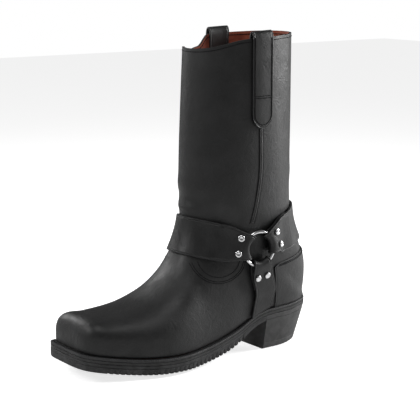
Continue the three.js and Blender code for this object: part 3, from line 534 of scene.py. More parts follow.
def soften(piece: bpy.types.Object, bevel: float, levels: int) -> None:
    """Rounds a piece's edges and smooths its faces.

    Args:
        piece: The piece, changed in place.
        bevel: Width of the rounding at its edges; none at 0.
        levels: Times that its faces are divided.
    """
    if bevel:
        rounding = piece.modifiers.new("edges", "BEVEL")
        rounding.width = bevel
        rounding.segments = 2
        rounding.limit_method = "ANGLE"
        rounding.angle_limit = SHARP
    if levels:
        smooth = piece.modifiers.new("smooth", "SUBSURF")
        smooth.levels = smooth.render_levels = levels
    settle(piece)
    shade(piece)


def shade(piece: bpy.types.Object, sharp: float = 180.0) -> None:
    """Shades a piece smooth.

    Args:
        piece: The piece, changed in place.
        sharp: Angle in degrees over which its edges stay sharp.
    """
    work = bmesh.new()
    work.from_mesh(piece.data)
    for face in work.faces:
        face.smooth = True
    for edge in work.edges:
        edge.smooth = not edge.is_manifold or edge.calc_face_angle(0) < math.radians(sharp)
    work.to_mesh(piece.data)
    work.free()


def edge_points(piece: bpy.types.Object) -> KDTree:
    """Finds points along the cut edges of a piece, before its edges are rounded.

    Args:
        piece: The piece.

    Returns:
        The points, about a millimetre apart.
    """
    work = bmesh.new()
    work.from_mesh(piece.data)
    spots = []
    for edge in work.edges:
        if edge.is_manifold and edge.calc_face_angle(0) > SHARP:
            first, second = (vert.co.copy() for vert in edge.verts)
            count = max(1, round(edge.calc_length() / MM))
            spots += [first.lerp(second, i / count) for i in range(count + 1)]
    work.free()
    tree = KDTree(len(spots))
    for i, spot in enumerate(spots):
        tree.insert(spot, i)
    tree.balance()
    return tree


def soften_leather(piece: bpy.types.Object, bevel: float, levels: int = 2) -> bpy.types.Object:
    """Softens a piece of cut leather and marks where its cut edges are.

    Args:
        piece: The piece, changed in place. Each point's distance from the cut edges goes in its
            attribute "edge".
        bevel: Width of the rounding at its edges.
        levels: Times that its faces are divided.

    Returns:
        The piece.
    """
    edges = edge_points(piece)
    soften(piece, bevel, levels)
    distances = [edges.find(vert.co)[2] for vert in piece.data.vertices]
    piece.data.attributes.new("edge", "FLOAT", "POINT").data.foreach_set("value", distances)
    return piece


def dress(
    piece: bpy.types.Object, finish: bpy.types.Material, nodes: Sequence[str] = ()
) -> bpy.types.Object:
    """Gives a finished piece its material and body, and hides the CAD nodes that it stands for.

    Args:
        piece: The piece.
        finish: Its material.
        nodes: CAD nodes that it stands for.

    Returns:
        The piece.
    """
    piece.data.materials.clear()
    piece.data.materials.append(finish)
    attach(piece, BODY)
    if nodes:
        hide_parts(*nodes)
    LOG.info("%s: %d faces, %s", piece.name, len(piece.data.polygons), finish.name)
    return piece


class Surface:
    """Finds places on a finished piece."""

    def __init__(self, piece: bpy.types.Object) -> None:
        """Reads the piece's faces."""
        self.tree = BVHTree.FromObject(piece, bpy.context.evaluated_depsgraph_get())

    def meet(self, target: Sequence[float], outward: Sequence[float], lift: float = 0.0) -> Vector:
        """Casts a ray from far out towards a target.

        Args:
            target: The point aimed at.
            outward: Direction from which the ray comes.
            lift: How far off the surface the place lies.

        Returns:
            The first place met, lifted along the surface's normal, or the target itself.
        """
        away = Vector(outward).normalized()
        place, normal, _, _ = self.tree.ray_cast(Vector(target) + away * FAR, -away)
        if place is None:
            return Vector(target)
        return place + (normal if normal.dot(away) > 0 else -normal) * lift

    def inside(self, start: Sequence[float], outward: Sequence[float], lift: float = 0.0) -> Vector:
        """Casts a ray from inside the boot.

        Args:
            start: Where the ray starts.
            outward: Its direction.
            lift: How far off the inner wall the place lies.

        Returns:
            The place on the inner wall, or the start itself.
        """
        away = Vector(outward).normalized()
        place, normal, _, _ = self.tree.ray_cast(Vector(start), away)
        if place is None:
            return Vector(start)
        return place + (normal if normal.dot(away) < 0 else -normal) * lift


@dataclass(frozen=True)
class Stitch:
    """Sizes of one kind of stitch."""

    pitch: float = 3.3 * MM
    length: float = 2.7 * MM
    radius: float = 0.5 * MM


class Stitching:
    """Lays stitches along lines with one shared node tree."""

    groove_shade: float = 0.8  # radius of the dark tube along each line, of the thread's: painted shade of the stitch groove

    def __init__(self, finish: bpy.types.Material) -> None:
        """Builds the tree.

        Args:
            finish: The thread's material.
        """
        self.finish = finish
        self.keys: dict[str, str] = {}
        self.tree = self._tree()

    def _tree(self) -> bpy.types.GeometryNodeTree:
        """Builds the node tree that turns a line into evenly spaced stitches on a dark tube, painted shade of
        their groove.

        Returns:
            The tree.
        """
        tree = bpy.data.node_groups.new("stitch_run", "GeometryNodeTree")
        face = tree.interface
        face.new_socket("Line", in_out="INPUT", socket_type="NodeSocketGeometry")
        for name in ("Pitch", "Length", "Radius"):
            socket = face.new_socket(name, in_out="INPUT", socket_type="NodeSocketFloat")
            self.keys[name] = socket.identifier
        face.new_socket("Stitches", in_out="OUTPUT", socket_type="NodeSocketGeometry")

        add = partial(add_node, tree)
        given = add("NodeGroupInput").outputs
        line = add("GeometryNodeMeshToCurve", {"Mesh": given["Line"]}).outputs[0]
        resample = add("GeometryNodeResampleCurve", {"Curve": line, "Length": given["Pitch"]}, mode="LENGTH")
        tangent = add("GeometryNodeInputTangent").outputs[0]
        turn = add("FunctionNodeAlignRotationToVector", {"Vector": tangent}, axis="Z").outputs[0]
        half = add("ShaderNodeMath", {0: given["Length"], 1: 0.5}, operation="MULTIPLY").outputs[0]
        size = add("ShaderNodeCombineXYZ", {"X": given["Radius"], "Y": given["Radius"], "Z": half}).outputs[0]
        ball = add("GeometryNodeMeshUVSphere", {"Segments": 7, "Rings": 5, "Radius": 1.0}).outputs[0]
        stitch = add("GeometryNodeTransform", {"Geometry": ball, "Scale": size}).outputs[0]
        laid = add(
            "GeometryNodeInstanceOnPoints",
            {"Points": resample.outputs[0], "Instance": stitch, "Rotation": turn},
        ).outputs[0]
        # Painted shade: a tube of thread colour along the line stands in for the shade in the stitch groove.
        groove = add("ShaderNodeMath", {0: given["Radius"], 1: self.groove_shade}, operation="MULTIPLY").outputs[0]
        round_line = add("GeometryNodeCurvePrimitiveCircle", {"Resolution": 5, "Radius": groove}).outputs[0]
        groove_shade = add(
            "GeometryNodeCurveToMesh",
            {"Curve": resample.outputs[0], "Profile Curve": round_line, "Fill Caps": True},
        ).outputs[0]
        both = add("GeometryNodeJoinGeometry")
        for part in (laid, groove_shade):
            tree.links.new(part, both.inputs[0])
        real = add("GeometryNodeRealizeInstances", {"Geometry": both.outputs[0]}).outputs[0]
        smooth = add("GeometryNodeSetShadeSmooth", {"Geometry": real}).outputs[0]
        done = add("GeometryNodeSetMaterial", {"Geometry": smooth, "Material": self.finish}).outputs[0]
        add("NodeGroupOutput", {"Stitches": done})
        return tree

    def lay(
        self, name: str, lines: Sequence[Sequence[Vector]], stitch: Stitch, slot: Slot
    ) -> bpy.types.Object:
        """Lays stitches along lines.

        Args:
            name: The piece's name.
            lines: Each line's points, on the leather.
            stitch: The kind of stitch.
            slot: The slot of the leather that it is sewn in; not used.

        Returns:
            The stitches as one piece.
        """
        points = [point for line in lines for point in line]
        edges, start = [], 0
        for line in lines:
            edges += [(start + i, start + i + 1) for i in range(len(line) - 1)]
            start += len(line)
        piece = new_object(name, np.array(points), [], edges)
        run = piece.modifiers.new("stitches", "NODES")
        run.node_group = self.tree
        for key, value in (("Pitch", stitch.pitch), ("Length", stitch.length), ("Radius", stitch.radius)):
            run[self.keys[key]] = value
        settle(piece)
        return dress(piece, self.finish)


@dataclass
class Footprint:
    """The sole seen from above and from the side, with X from the back of the heel seat."""

    length: float = 316 * MM
    ball: float = 115 * MM
    waist: float = 82 * MM
    heel: float = 72 * MM
    toe: float = 86 * MM
    swing_in: float = 19 * MM
    spring: float = 12 * MM
    crown: float = 3.5 * MM
    flat: float = 0.45
    seat: float = 51.5 * MM
    seat_drop: float = 5 * MM
    stack: float = 20.5 * MM
    heel_round: tuple[float, float] = (0.24, 2.35)
    toe_round: tuple[float, float] = (0.115, 4.8)
    left: Curve = field(init=False)
    right: Curve = field(init=False)
    line: Curve = field(init=False)

    def __post_init__(self) -> None:
        """Works out the outline and the welt's line from shares of the named sizes."""
        outline = [  # share of the length, width that it follows, shares of it to the left and right
            (0.13, self.heel, 0.51, 0.51),
            (0.25, self.heel, 0.495, 0.485),
            (0.4, self.waist, 0.51, 0.48),
            (0.54, self.ball, 0.435, 0.4),
            (0.66, self.ball, 0.505, 0.47),
            (0.74, self.ball, 0.5, 0.5),
            (0.86, self.ball, 0.43, 0.465),
            (0.95, self.toe, 0.5, 0.535),
            (1.02, self.toe, 0.465, 0.5),
        ]
        places = [row[0] for row in outline]
        self.left = curve_through(places, [row[1] * row[2] for row in outline])
        self.right = curve_through(places, [row[1] * row[3] for row in outline])
        heights = [  # share of the length, height
            (0, self.seat),
            (0.12, self.seat - 0.35 * self.seat_drop),
            (0.27, self.seat - self.seat_drop),
            (0.4, 0.42 * (self.seat - self.seat_drop) + 0.58 * self.stack),
            (0.54, 0.08 * (self.seat - self.seat_drop) + 0.92 * self.stack),
            (0.66, self.stack),
            (0.78, self.stack + 0.12 * self.spring),
            (0.9, self.stack + 0.5 * self.spring),
            (1, self.stack + self.spring),
        ]
        self.line = curve_through(*zip(*heights))

    def height(self, x: np.ndarray) -> np.ndarray:
        """Height of the welt's top edge at x."""
        return self.line(np.asarray(x) / self.length)

    def swing(self, x: np.ndarray) -> np.ndarray:
        """Y of the middle line at x."""
        share = np.clip((np.asarray(x) / self.length - 0.35) / 0.65, 0, 1.1)
        return -self.swing_in * share**2

    def half(self, x: np.ndarray, side: int, inset: float = 0.0, heel_inset: float = 0.0) -> np.ndarray:
        """Half width of the sole on one side.

        Args:
            x: Places along the sole.
            side: 1 for the outer side, -1 for the inner side.
            inset: How far inside the outline, forefoot.
            heel_inset: The same at the heel.

        Returns:
            The half width at each place.
        """
        share = np.asarray(x, float) / self.length
        edge = heel_inset + (inset - heel_inset) * smoothstep(share, 0.2, 0.4)
        full = (self.left if side > 0 else self.right)(np.clip(share, 0.13, 1.02)) - edge
        heel_end = self.heel_round[0] * self.length
        toe_start = (1 - self.toe_round[0]) * self.length
        back = np.clip((heel_end - x) / (heel_end - heel_inset), 0, 1)
        front = np.clip((x - toe_start) / (self.length - inset - toe_start), 0, 1)
        heel = (1 - back ** self.heel_round[1]) ** (1 / self.heel_round[1])
        toe = (1 - front ** self.toe_round[1]) ** (1 / self.toe_round[1])
        return full * heel * toe

    def top(self, x: np.ndarray, out: np.ndarray, side: int) -> np.ndarray:
        """Height of the welt's top.

        Args:
            x: Places along the sole.
            out: Their distances from the middle line.
            side: 1 for the outer side, -1 for the inner side.

        Returns:
            The height at each place.
        """
        share = np.asarray(x) / self.length
        crown = self.crown * smoothstep(share, 0.42, 0.62) * (1 - smoothstep(share, 0.8, 0.97))
        full = np.maximum(self.half(x, side), MM)
        return self.height(x) - crown * (1 - np.clip((out / full - self.flat) / (1 - self.flat), 0, 1))

    def edge(self, start: float, count: int, inset: float = 0.0, heel_inset: float = 0.0) -> np.ndarray:
        """Evenly spaced points of the outline from the heel to the toe.

        Args:
            start: X where the line starts.
            count: Points on each side.
            inset: How far inside the outline it runs, forefoot.
            heel_inset: The same behind the heel.

        Returns:
            An array of left and right points, each (count, 2).
        """
        span = 0.5 - 0.5 * np.cos(np.linspace(0, np.pi, 1200))
        x = max(start, heel_inset) + span * (self.length - inset - max(start, heel_inset))
        sides = []
        for side in (1, -1):
            line = np.stack([x, self.swing(x) + side * self.half(x, side, inset, heel_inset)], 1)
            run = np.concatenate([[0], np.cumsum(np.linalg.norm(np.diff(line, axis=0), axis=1))])
            even = np.linspace(0, run[-1], count)
            sides.append(np.stack([np.interp(even, run, line[:, k]) for k in (0, 1)], 1))
        return np.array(sides)


def outward(sides: np.ndarray) -> np.ndarray:
    """Finds outward directions along both sides of an outline.

    Args:
        sides: Left and right points, (2, count, 2).

    Returns:
        A direction of length 1 for each point.
    """
    along = np.gradient(sides, axis=1)
    along /= np.maximum(np.linalg.norm(along, axis=2, keepdims=True), 1e-9)
    normals = np.stack([-along[..., 1], along[..., 0]], 2)
    normals[1] *= -1
    return normals


def ring_solid(name: str, rings: Sequence[np.ndarray], capped: bool) -> bpy.types.Object:
    """Makes a closed solid from rings round the sole.

    Args:
        name: The piece's name.
        rings: Each ring's left and right points, (2, count, 3), with X from the heel seat's back.
        capped: Whether its first and last rings are closed across; if not, they are joined.

    Returns:
        The object.
    """
    count = rings[0].shape[1]
    loops = [np.concatenate([ring[0], ring[1][::-1]]) for ring in rings]
    size = 2 * count
    points = np.concatenate(loops) + np.array([SEAT_X, 0, 0])
    faces = []
    last = len(loops) - 1 if capped else len(loops)
    for k in range(last):
        low, high = k * size, ((k + 1) % len(loops)) * size
        faces += [(low + i, low + (i + 1) % size, high + (i + 1) % size, high + i) for i in range(size)]
    if capped:
        for base in (0, (len(loops) - 1) * size):
            faces += [
                (base + i, base + i + 1, base + size - 2 - i, base + size - 1 - i) for i in range(count - 1)
            ]
    return new_object(name, points, faces)


@dataclass
class Sole:
    """Welt, midsole, outsole, heel and insole."""

    finishes: Finishes
    stitching: Stitching
    form: Footprint = field(default_factory=Footprint)
    gap: float = 0.3 * MM
    welt_edge: float = 5 * MM
    heel_welt_edge: float = 3 * MM
    welt_ledge: float = 3 * MM
    welt: float = 3.2 * MM
    midsole: float = 3.2 * MM
    shank: float = 6 * MM
    tread_pitch: float = 5.95 * MM
    tread_depth: float = 1.7 * MM
    ball_flat: float = 0.3 * MM
    heel_length: float = 76 * MM
    back_rake: float = 13 * MM
    breast_rake: float = 2 * MM
    taper: float = 5 * MM
    tread_start: float = 0.36  # shares of the length
    tread_end: float = 0.93
    wheel_pitch: float = 2.7 * MM  # marks of the wheel along the welt's edge
    seam_inset: float = 2.9 * MM
    seam_lift: float = 0.25 * MM
    welt_points: int = 640  # points on each side of each ring
    midsole_points: int = 260
    outsole_points: int = 620
    heel_points: int = 90

    def build(self) -> None:
        """Builds all layers of the sole."""
        self.build_welt()
        self.build_midsole()
        self.build_outsole()
        self.build_heel()
        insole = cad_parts["insole"]
        for slot in insole.material_slots:
            slot.material = self.finishes.lining

    def with_height(self, sides: np.ndarray, drop: np.ndarray) -> np.ndarray:
        """Adds heights to plan points.

        Args:
            sides: Left and right points, (2, count, 2).
            drop: Their depths below the welt's top.

        Returns:
            The points, (2, count, 3).
        """
        rows = []
        for side, line in zip((1, -1), sides):
            out = np.abs(line[:, 1] - self.form.swing(line[:, 0]))
            z = self.form.top(line[:, 0], out, side)
            rows.append(np.column_stack([line, z]))
        rings = np.array(rows)
        rings[..., 2] -= drop
        return rings

    def build_welt(self) -> None:
        """Builds the welt with wheel marks on its edge and stitches along its top."""
        outer = self.form.edge(0, self.welt_points)
        ledge = (self.welt_edge + self.welt_ledge, self.heel_welt_edge + self.welt_ledge)
        inner = self.form.edge(0, self.welt_points, *ledge)
        out = outward(outer)
        run = np.cumsum(np.linalg.norm(np.diff(outer, axis=1, prepend=outer[:, :1]), axis=2), axis=1)
        mark = ((0.5 - 0.5 * np.cos(2 * np.pi * run / self.wheel_pitch)) ** 2)[..., None]
        profile = [  # mm out from the edge, down from the top, and the wheel mark's depth
            (-3.5, 0.0, 0.0),
            (-2.6, 0.0, 0.1),
            (-1.2, 0.0, 0.42),
            (-0.25, 0.3, 0.42),
            (0.0, 1.0, 0.25),
            (0.0, 2.5, 0.0),
            (-0.4, 3.2, 0.0),
        ]
        rings = [self.with_height(inner, 0.0)]
        for away, down, deep in profile:
            plan = outer + out * (away * MM - 0.5 * deep * MM * mark)
            rings.append(self.with_height(plan, down * MM + deep * MM * mark[..., 0]))
        rings.append(self.with_height(inner, self.welt))
        piece = ring_solid("welt_dressed", rings, capped=False)
        shade(piece, 50)
        dress(piece, self.finishes.welt, ["welt"])
        seam = self.with_height(outer - out * self.seam_inset, -self.seam_lift) + np.array([SEAT_X, 0, 0])
        lines = [[Vector(point) for point in line[::3]] for line in seam]
        thick = Stitch(pitch=5.6 * MM, length=4.6 * MM, radius=0.62 * MM)
        self.stitching.lay("welt_stitches", lines, thick, Slot.WELT)

    def layer_rings(self, sides: np.ndarray, depth: float, thickness: float) -> list[np.ndarray]:
        """Makes the rings of an even layer.

        Args:
            sides: Its outline, (2, count, 2).
            depth: How far its top lies below the welt's.
            thickness: Its thickness.

        Returns:
            Rings from the middle of its top, over its edge, to the middle of its underside.
        """
        out = outward(sides)
        rings = []
        for share in (0.45, 0.75):
            rings.append(self.with_height(self.shrunk(sides, share), depth))
        for away, part in ((-0.45, 0), (0, 0.14), (-0.12, 0.5), (0, 0.86), (-0.45, 1)):
            rings.append(self.with_height(sides + out * away * MM, depth + part * thickness))
        for share in (0.75, 0.45):
            rings.append(self.with_height(self.shrunk(sides, share), depth + thickness))
        return rings

    def shrunk(self, sides: np.ndarray, share: float) -> np.ndarray:
        """Draws plan points in towards the middle line.

        Args:
            sides: Left and right points, (2, count, 2).
            share: Share of their distance from the middle line that stays.

        Returns:
            The new points.
        """
        plan = sides.copy()
        middle = self.form.swing(plan[..., 0])
        plan[..., 1] = middle + (plan[..., 1] - middle) * share
        return plan

    def build_midsole(self) -> None:
        """Builds the midsole."""
        outline = self.form.edge(0, self.midsole_points)
        rings = self.layer_rings(outline, self.welt + self.gap, self.midsole)
        piece = ring_solid("midsole_dressed", rings, capped=True)
        shade(piece, 50)
        dress(piece, self.finishes.midsole, ["midsole"])

    def tread_lift(self, x: np.ndarray) -> np.ndarray:
        """Finds how far the tread is cut up by its grooves.

        Args:
            x: Places along the sole.

        Returns:
            The groove's depth at each place.
        """
        first, last = self.tread_start * self.form.length, self.tread_end * self.form.length
        count = round((last - first) / self.tread_pitch)
        pitch = (last - first) / count
        place = (x - first) / pitch
        within = (place > 0) & (place < count)
        within_rib = np.mod(place, 1)
        groove = smoothstep(within_rib, 0.0, 0.07) * (1 - smoothstep(within_rib, 0.38, 0.45))
        return np.where(within, groove * self.tread_depth, 0.0)

    def build_outsole(self) -> None:
        """Builds the outsole with its moulded edge and grooved tread."""
        form = self.form
        sides = form.edge(self.heel_length + self.gap, self.outsole_points)
        out = outward(sides)
        depth = self.welt + self.midsole + 2 * self.gap
        x = sides[..., 0]
        lift = self.tread_lift(np.broadcast_to(x.mean(axis=0), x.shape))
        full = smoothstep(x / form.length, 0.28, 0.44)
        thick = (depth + self.shank) * (1 - full) + (form.stack - form.crown + self.ball_flat) * full
        thick = np.minimum(thick, form.top(x, 0 * x, 1))
        rings = [self.with_height(self.shrunk(sides, share), depth) for share in (0.45, 0.75)]
        walls = [  # share of the way down, mm out
            (0, -0.45),
            (0.05, 0),
            (0.3, 0),
            (0.345, -0.55),
            (0.39, 0),
            (0.62, 0.05),
            (0.88, 0),
            (1, -0.5),
        ]
        for part, away in walls:
            notch = np.where(lift > 0.5 * self.tread_depth, -0.7, 0.0) * smoothstep(part, 0.45, 0.62)
            plan = sides + out * ((away + notch) * MM)[..., None]
            down = np.minimum(depth + part * (thick - depth), thick - lift)
            rings.append(self.with_height(plan, down))
        for share in (0.93, 0.8, 0.62, 0.45):
            rings.append(self.with_height(self.shrunk(sides, share), thick - lift))
        piece = ring_solid("outsole_dressed", rings, capped=True)
        shade(piece, 40)
        dress(piece, self.finishes.outsole, ["outsole"])

    def build_heel(self) -> None:
        """Builds the heel block with the line of its seat band."""
        form = self.form
        x = np.linspace(0, 1, self.heel_points) ** 1.6 * self.heel_length
        depth = self.welt + self.midsole + 2 * self.gap
        profile = [  # height's share, lean towards the seat, mm of inset
            (0, 0, 2.5),
            (0.012, 0.01, 1.1),
            (0.04, 0.03, 0.2),
            (0.07, 0.05, 0),
            (0.17, 0.16, 0),
            (0.18, 0.17, 0.35),
            (0.19, 0.18, 0),
            (0.86, 0.88, 0),
            (0.872, 0.88, 0.7),
            (0.885, 0.89, 0),
            (0.99, 0.99, 0),
            (1, 1, 0.4),
        ]
        rings = []
        for up, lean, edge in profile:
            lines = []
            for side in (1, -1):
                half = form.half(x, side)
                inset = np.minimum(mix(self.taper, 0, lean) + edge * MM, half)
                back = mix(self.back_rake, 0, lean) + edge * MM
                front = self.heel_length + mix(self.breast_rake, 0, lean)
                across = form.swing(x) + side * (half - inset)
                top = form.height(x) - depth - self.gap
                along = back + (front - back) * x / self.heel_length
                lines.append(np.column_stack([along, across, up * top]))
            rings.append(np.array(lines))
        piece = ring_solid("heel_dressed", rings, capped=True)
        shade(piece, 38)
        dress(piece, self.finishes.heel, ["heel"])


@dataclass(frozen=True)
class Crease:
    """One soft fold of the leather: a line from one place to another, pressed in or raised."""

    start: tuple[float, float, float]
    end: tuple[float, float, float]
    width: float
    depth: float  # below 0 for a hollow


@dataclass
class Upper:
    """Upper with its lining, counter, seams and stitches."""

    finishes: Finishes
    stitching: Stitching
    form: Footprint = field(default_factory=Footprint)
    collar: float = 366 * MM
    front: float = 162.5 * MM  # X of the collar's front, from the heel seat's back
    back: float = 26.5 * MM
    dip: float = 9 * MM
    counter_length: float = 72 * MM
    counter_height: float = 113 * MM
    counter_thickness: float = 1.4 * MM
    counter_low_top: float = 0.912  # height of its front end, of its height at the back
    counter_lift: float = 0.6 * MM  # off the welt
    counter_seams: tuple[float, float] = (2.6 * MM, 4.4 * MM)  # in from its top edge
    heel_middle: float = 30 * MM  # X that the counter is wrapped round
    leg_middle: float = 94 * MM  # X of the middle of the leg
    collar_seam: float = 3.6 * MM  # down from the collar's edge
    seam_top: float = 97 * MM
    seam_low: float = 106 * MM
    seam_width: float = 4.4 * MM
    seam_thickness: float = 0.6 * MM
    seam_heights: Sequence[float] = (156 * MM, 173.5 * MM, 207 * MM, 264 * MM)
    seam_shifts: Sequence[float] = (1, 0.6, 0.05, 0)  # shares of the way from its top X to its low X
    scallop_middle: tuple[float, float] = (145 * MM, 120 * MM)  # X and Z
    scallop_size: tuple[float, float] = (32 * MM, 29 * MM)  # half width and depth
    scallop_rows: Sequence[float] = (1.0, 0.93, 0.76)  # shares of the size
    shaft_width: float = 97 * MM
    cut_depth: float = 12 * MM
    cut_start: tuple[float, float] = (24, 58)  # degrees round from the front, inner side
    cut_end: tuple[float, float] = (70, 84)
    bone: Sequence[tuple[float, float, float]] = (
        (0.285, -0.016, 0.042),
        (0.230, -0.008, 0.050),
        (0.180, -0.003, 0.062),
        (0.120, 0.0, 0.085),
        (0.095, 0.0, 0.125),
        (0.098, 0.0, 0.420),
    )
    creases: Sequence[Crease] = (
        Crease((0.167, -0.03, 0.176), (0.168, 0.032, 0.172), 5.5 * MM, 1.5 * MM),
        Crease((0.165, -0.028, 0.187), (0.164, 0.03, 0.184), 6 * MM, -1.1 * MM),
        Crease((0.164, -0.024, 0.2), (0.163, 0.028, 0.198), 8 * MM, 0.8 * MM),
        Crease((0.024, -0.03, 0.188), (0.026, 0.03, 0.19), 8 * MM, -1.5 * MM),
        Crease((0.026, -0.03, 0.206), (0.028, 0.03, 0.208), 9 * MM, 1.1 * MM),
        Crease((0.052, 0.04, 0.262), (0.053, 0.037, 0.255), 5 * MM, -1.3 * MM),
        Crease((0.06, 0.046, 0.285), (0.05, 0.036, 0.235), 14 * MM, -0.8 * MM),
        Crease((0.205, -0.03, 0.075), (0.2, 0.035, 0.074), 8 * MM, -0.55 * MM),
        Crease((0.188, -0.03, 0.09), (0.184, 0.034, 0.088), 9 * MM, 0.6 * MM),
    )

    def build(self) -> None:
        """Builds the upper and everything sewn on it."""
        self.build_shell()
        self.build_counter()
        for side in Side:
            self.build_seam(side)
        self.stitch_vamp()
        self.stitch_collar()

    def off_bone(self, points: np.ndarray) -> np.ndarray:
        """Finds directions out of the foot and leg.

        Args:
            points: Points of the leather, (count, 3).

        Returns:
            For each, the direction to it from the nearest place in the middle of the foot or leg.
        """
        bone = np.array(self.bone) + np.array([SEAT_X, 0, 0])
        best = np.full(len(points), np.inf)
        away = np.zeros_like(points)
        for first, second in zip(bone[:-1], bone[1:]):
            along = second - first
            share = np.clip((points - first) @ along / (along @ along), 0, 1)
            off = points - first - share[:, None] * along
            distance = np.linalg.norm(off, axis=1)
            closer = distance < best
            best[closer] = distance[closer]
            away[closer] = off[closer] / distance[closer, None]
        return away

    def crease(self, points: np.ndarray) -> np.ndarray:
        """Moves the leather's points by its soft folds.

        Args:
            points: Points of the leather, (count, 3).

        Returns:
            The moved points.
        """
        away = self.off_bone(points)
        shift = np.zeros(len(points))
        for fold in self.creases:
            start, end = (np.array(place) + np.array([SEAT_X, 0, 0]) for place in (fold.start, fold.end))
            along = end - start
            share = (points - start) @ along / (along @ along)
            off = points - start - np.clip(share, 0, 1)[:, None] * along
            shift += fold.depth * np.exp(-((np.linalg.norm(off, axis=1) / fold.width) ** 2))
        return points + away * shift[:, None]

    def front_drop(self, x: np.ndarray, y: np.ndarray) -> np.ndarray:
        """Finds how much lower the collar's edge is cut at its front on the inner side.

        Args:
            x: X of places on the edge.
            y: Y of them.

        Returns:
            How far down the edge is cut at each.
        """
        middle = (self.front + self.back) / 2
        turn = np.arctan2(-y * (self.front - self.back) / self.shaft_width, x - SEAT_X - middle)
        low, high = (np.radians(limits) for limits in (self.cut_start, self.cut_end))
        return self.cut_depth * smoothstep(turn, *low) * (1 - smoothstep(turn, *high))

    def cut_front(self, points: np.ndarray) -> np.ndarray:
        """Lowers the collar's edge where it is cut.

        Args:
            points: Points of the leather, (count, 3), changed in place.

        Returns:
            The points.
        """
        high = smoothstep(points[:, 2], self.collar - 50 * MM, self.collar - 8 * MM)
        points[:, 2] -= high * self.front_drop(points[:, 0], points[:, 1])
        return points

    def build_shell(self) -> None:
        """Builds the leather and its lining as one wall."""
        piece = merged_copy("upper", "upper_dressed")
        soften(piece, 0.7 * MM, 2)
        mesh = piece.data
        points = np.empty(len(mesh.vertices) * 3)
        mesh.vertices.foreach_get("co", points)
        points = self.cut_front(self.crease(points.reshape(-1, 3)))
        mesh.vertices.foreach_set("co", points.ravel())
        mesh.update()
        dress(piece, self.finishes.upper, ["upper"])
        mesh.materials.append(self.finishes.lining)
        middles = np.array([face.center for face in mesh.polygons])
        normals = np.array([face.normal for face in mesh.polygons])
        lined = middles[:, 2] > self.form.height(np.clip(middles[:, 0] - SEAT_X, 0, None)) + 6 * MM
        inner = lined & (np.einsum("ij,ij->i", self.off_bone(middles), normals) < -0.2)
        mesh.polygons.foreach_set("material_index", inner.astype(int))
        mesh.update()
        self.skin = Surface(piece)

    def patch(
        self, name: str, rows: Sequence[Sequence[Vector]], thickness: float, nodes: Sequence[str]
    ) -> bpy.types.Object:
        """Makes a piece of leather that lies on the upper.

        Args:
            name: The piece's name.
            rows: A grid of points on its underside.
            thickness: Its thickness.
            nodes: CAD nodes that it stands for.

        Returns:
            The piece.
        """
        wide = len(rows[0])
        low = np.array([[tuple(point) for point in row] for row in rows])
        normal = np.cross(np.gradient(low, axis=0), np.gradient(low, axis=1))
        normal /= np.linalg.norm(normal, axis=2, keepdims=True)
        away = self.off_bone(low.reshape(-1, 3)).reshape(low.shape)
        normal *= np.sign(np.sum(normal * away, axis=2, keepdims=True))
        high = low + normal * thickness
        points = np.concatenate([low.reshape(-1, 3), high.reshape(-1, 3)])
        half = low.shape[0] * wide
        faces = []
        for i in range(low.shape[0] - 1):
            for j in range(wide - 1):
                a = i * wide + j
                quad = (a, a + 1, a + wide + 1, a + wide)
                faces += [quad, tuple(half + k for k in quad)]
        rim = [*range(wide), *range(2 * wide - 1, half, wide)]
        rim += [*range(half - 2, half - wide - 1, -1), *range(half - 2 * wide, 0, -wide)]
        faces += [(a, b, half + b, half + a) for a, b in zip(rim, rim[1:] + rim[:1])]
        piece = soften_leather(new_object(name, points, faces), 0.35 * MM, 1)
        return dress(piece, self.finishes.overlay, nodes)

    def counter_edge(self, share: np.ndarray) -> np.ndarray:
        """Finds X and Z of the counter's front edge.

        Args:
            share: Places from its foot, 0, to its top, 1.

        Returns:
            X and Z for each, (count, 2).
        """
        places = (0, 0.55, 0.93, 1)
        x = np.interp(share, places, (0.92, 0.955, 1.0, 0.945)) * self.counter_length
        z = np.interp(share, places, (0.46, 0.72, 0.885, self.counter_low_top)) * self.counter_height
        return np.column_stack([x, z])

    def build_counter(self) -> None:
        """Builds the counter round the heel."""
        centre = np.array([self.heel_middle + SEAT_X, 0.0])
        turns = np.linspace(-1, 1, 61)
        shares = np.linspace(0, 1, 15)
        rows = []
        for share, (x, z) in zip(shares, self.counter_edge(shares)):
            spots = [self.skin.meet((x + SEAT_X, 0, z), (0, side, 0)) for side in (1, -1)]
            left, right = (math.atan2(spot.y - centre[1], spot.x - centre[0]) for spot in spots)
            row = []
            for turn in turns:
                end = left if turn < 0 else -right
                angle = math.pi - (math.pi - end) * abs(turn)
                angle = angle if turn < 0 else -angle
                out = Vector((math.cos(angle), math.sin(angle), 0))
                near = self.skin.meet((*centre, z), out)
                floor = float(self.form.height(max(near.x - SEAT_X, 0.0))) + self.counter_lift
                low = self.counter_height * self.counter_low_top
                top = mix(self.counter_height, low, abs(turn) ** 2.2)
                row.append(self.skin.meet((*centre, mix(floor, top, share)), out, 0.15 * MM))
            rows.append(row)
        self.patch("counter_dressed", rows, self.counter_thickness, ["counter"])
        edge = []
        for inset in self.counter_seams:
            line = []
            for place, lower in zip(rows[-1], rows[-2]):
                place = place + (lower - place).normalized() * inset
                flat = Vector((place.x - centre[0], place.y - centre[1], 0)).normalized()
                line.append(self.skin.meet(place, flat, self.counter_thickness + 0.3 * MM))
            edge.append(line[1:-1])
        self.stitching.lay("counter_stitches", edge, Stitch(), Slot.UPPER)

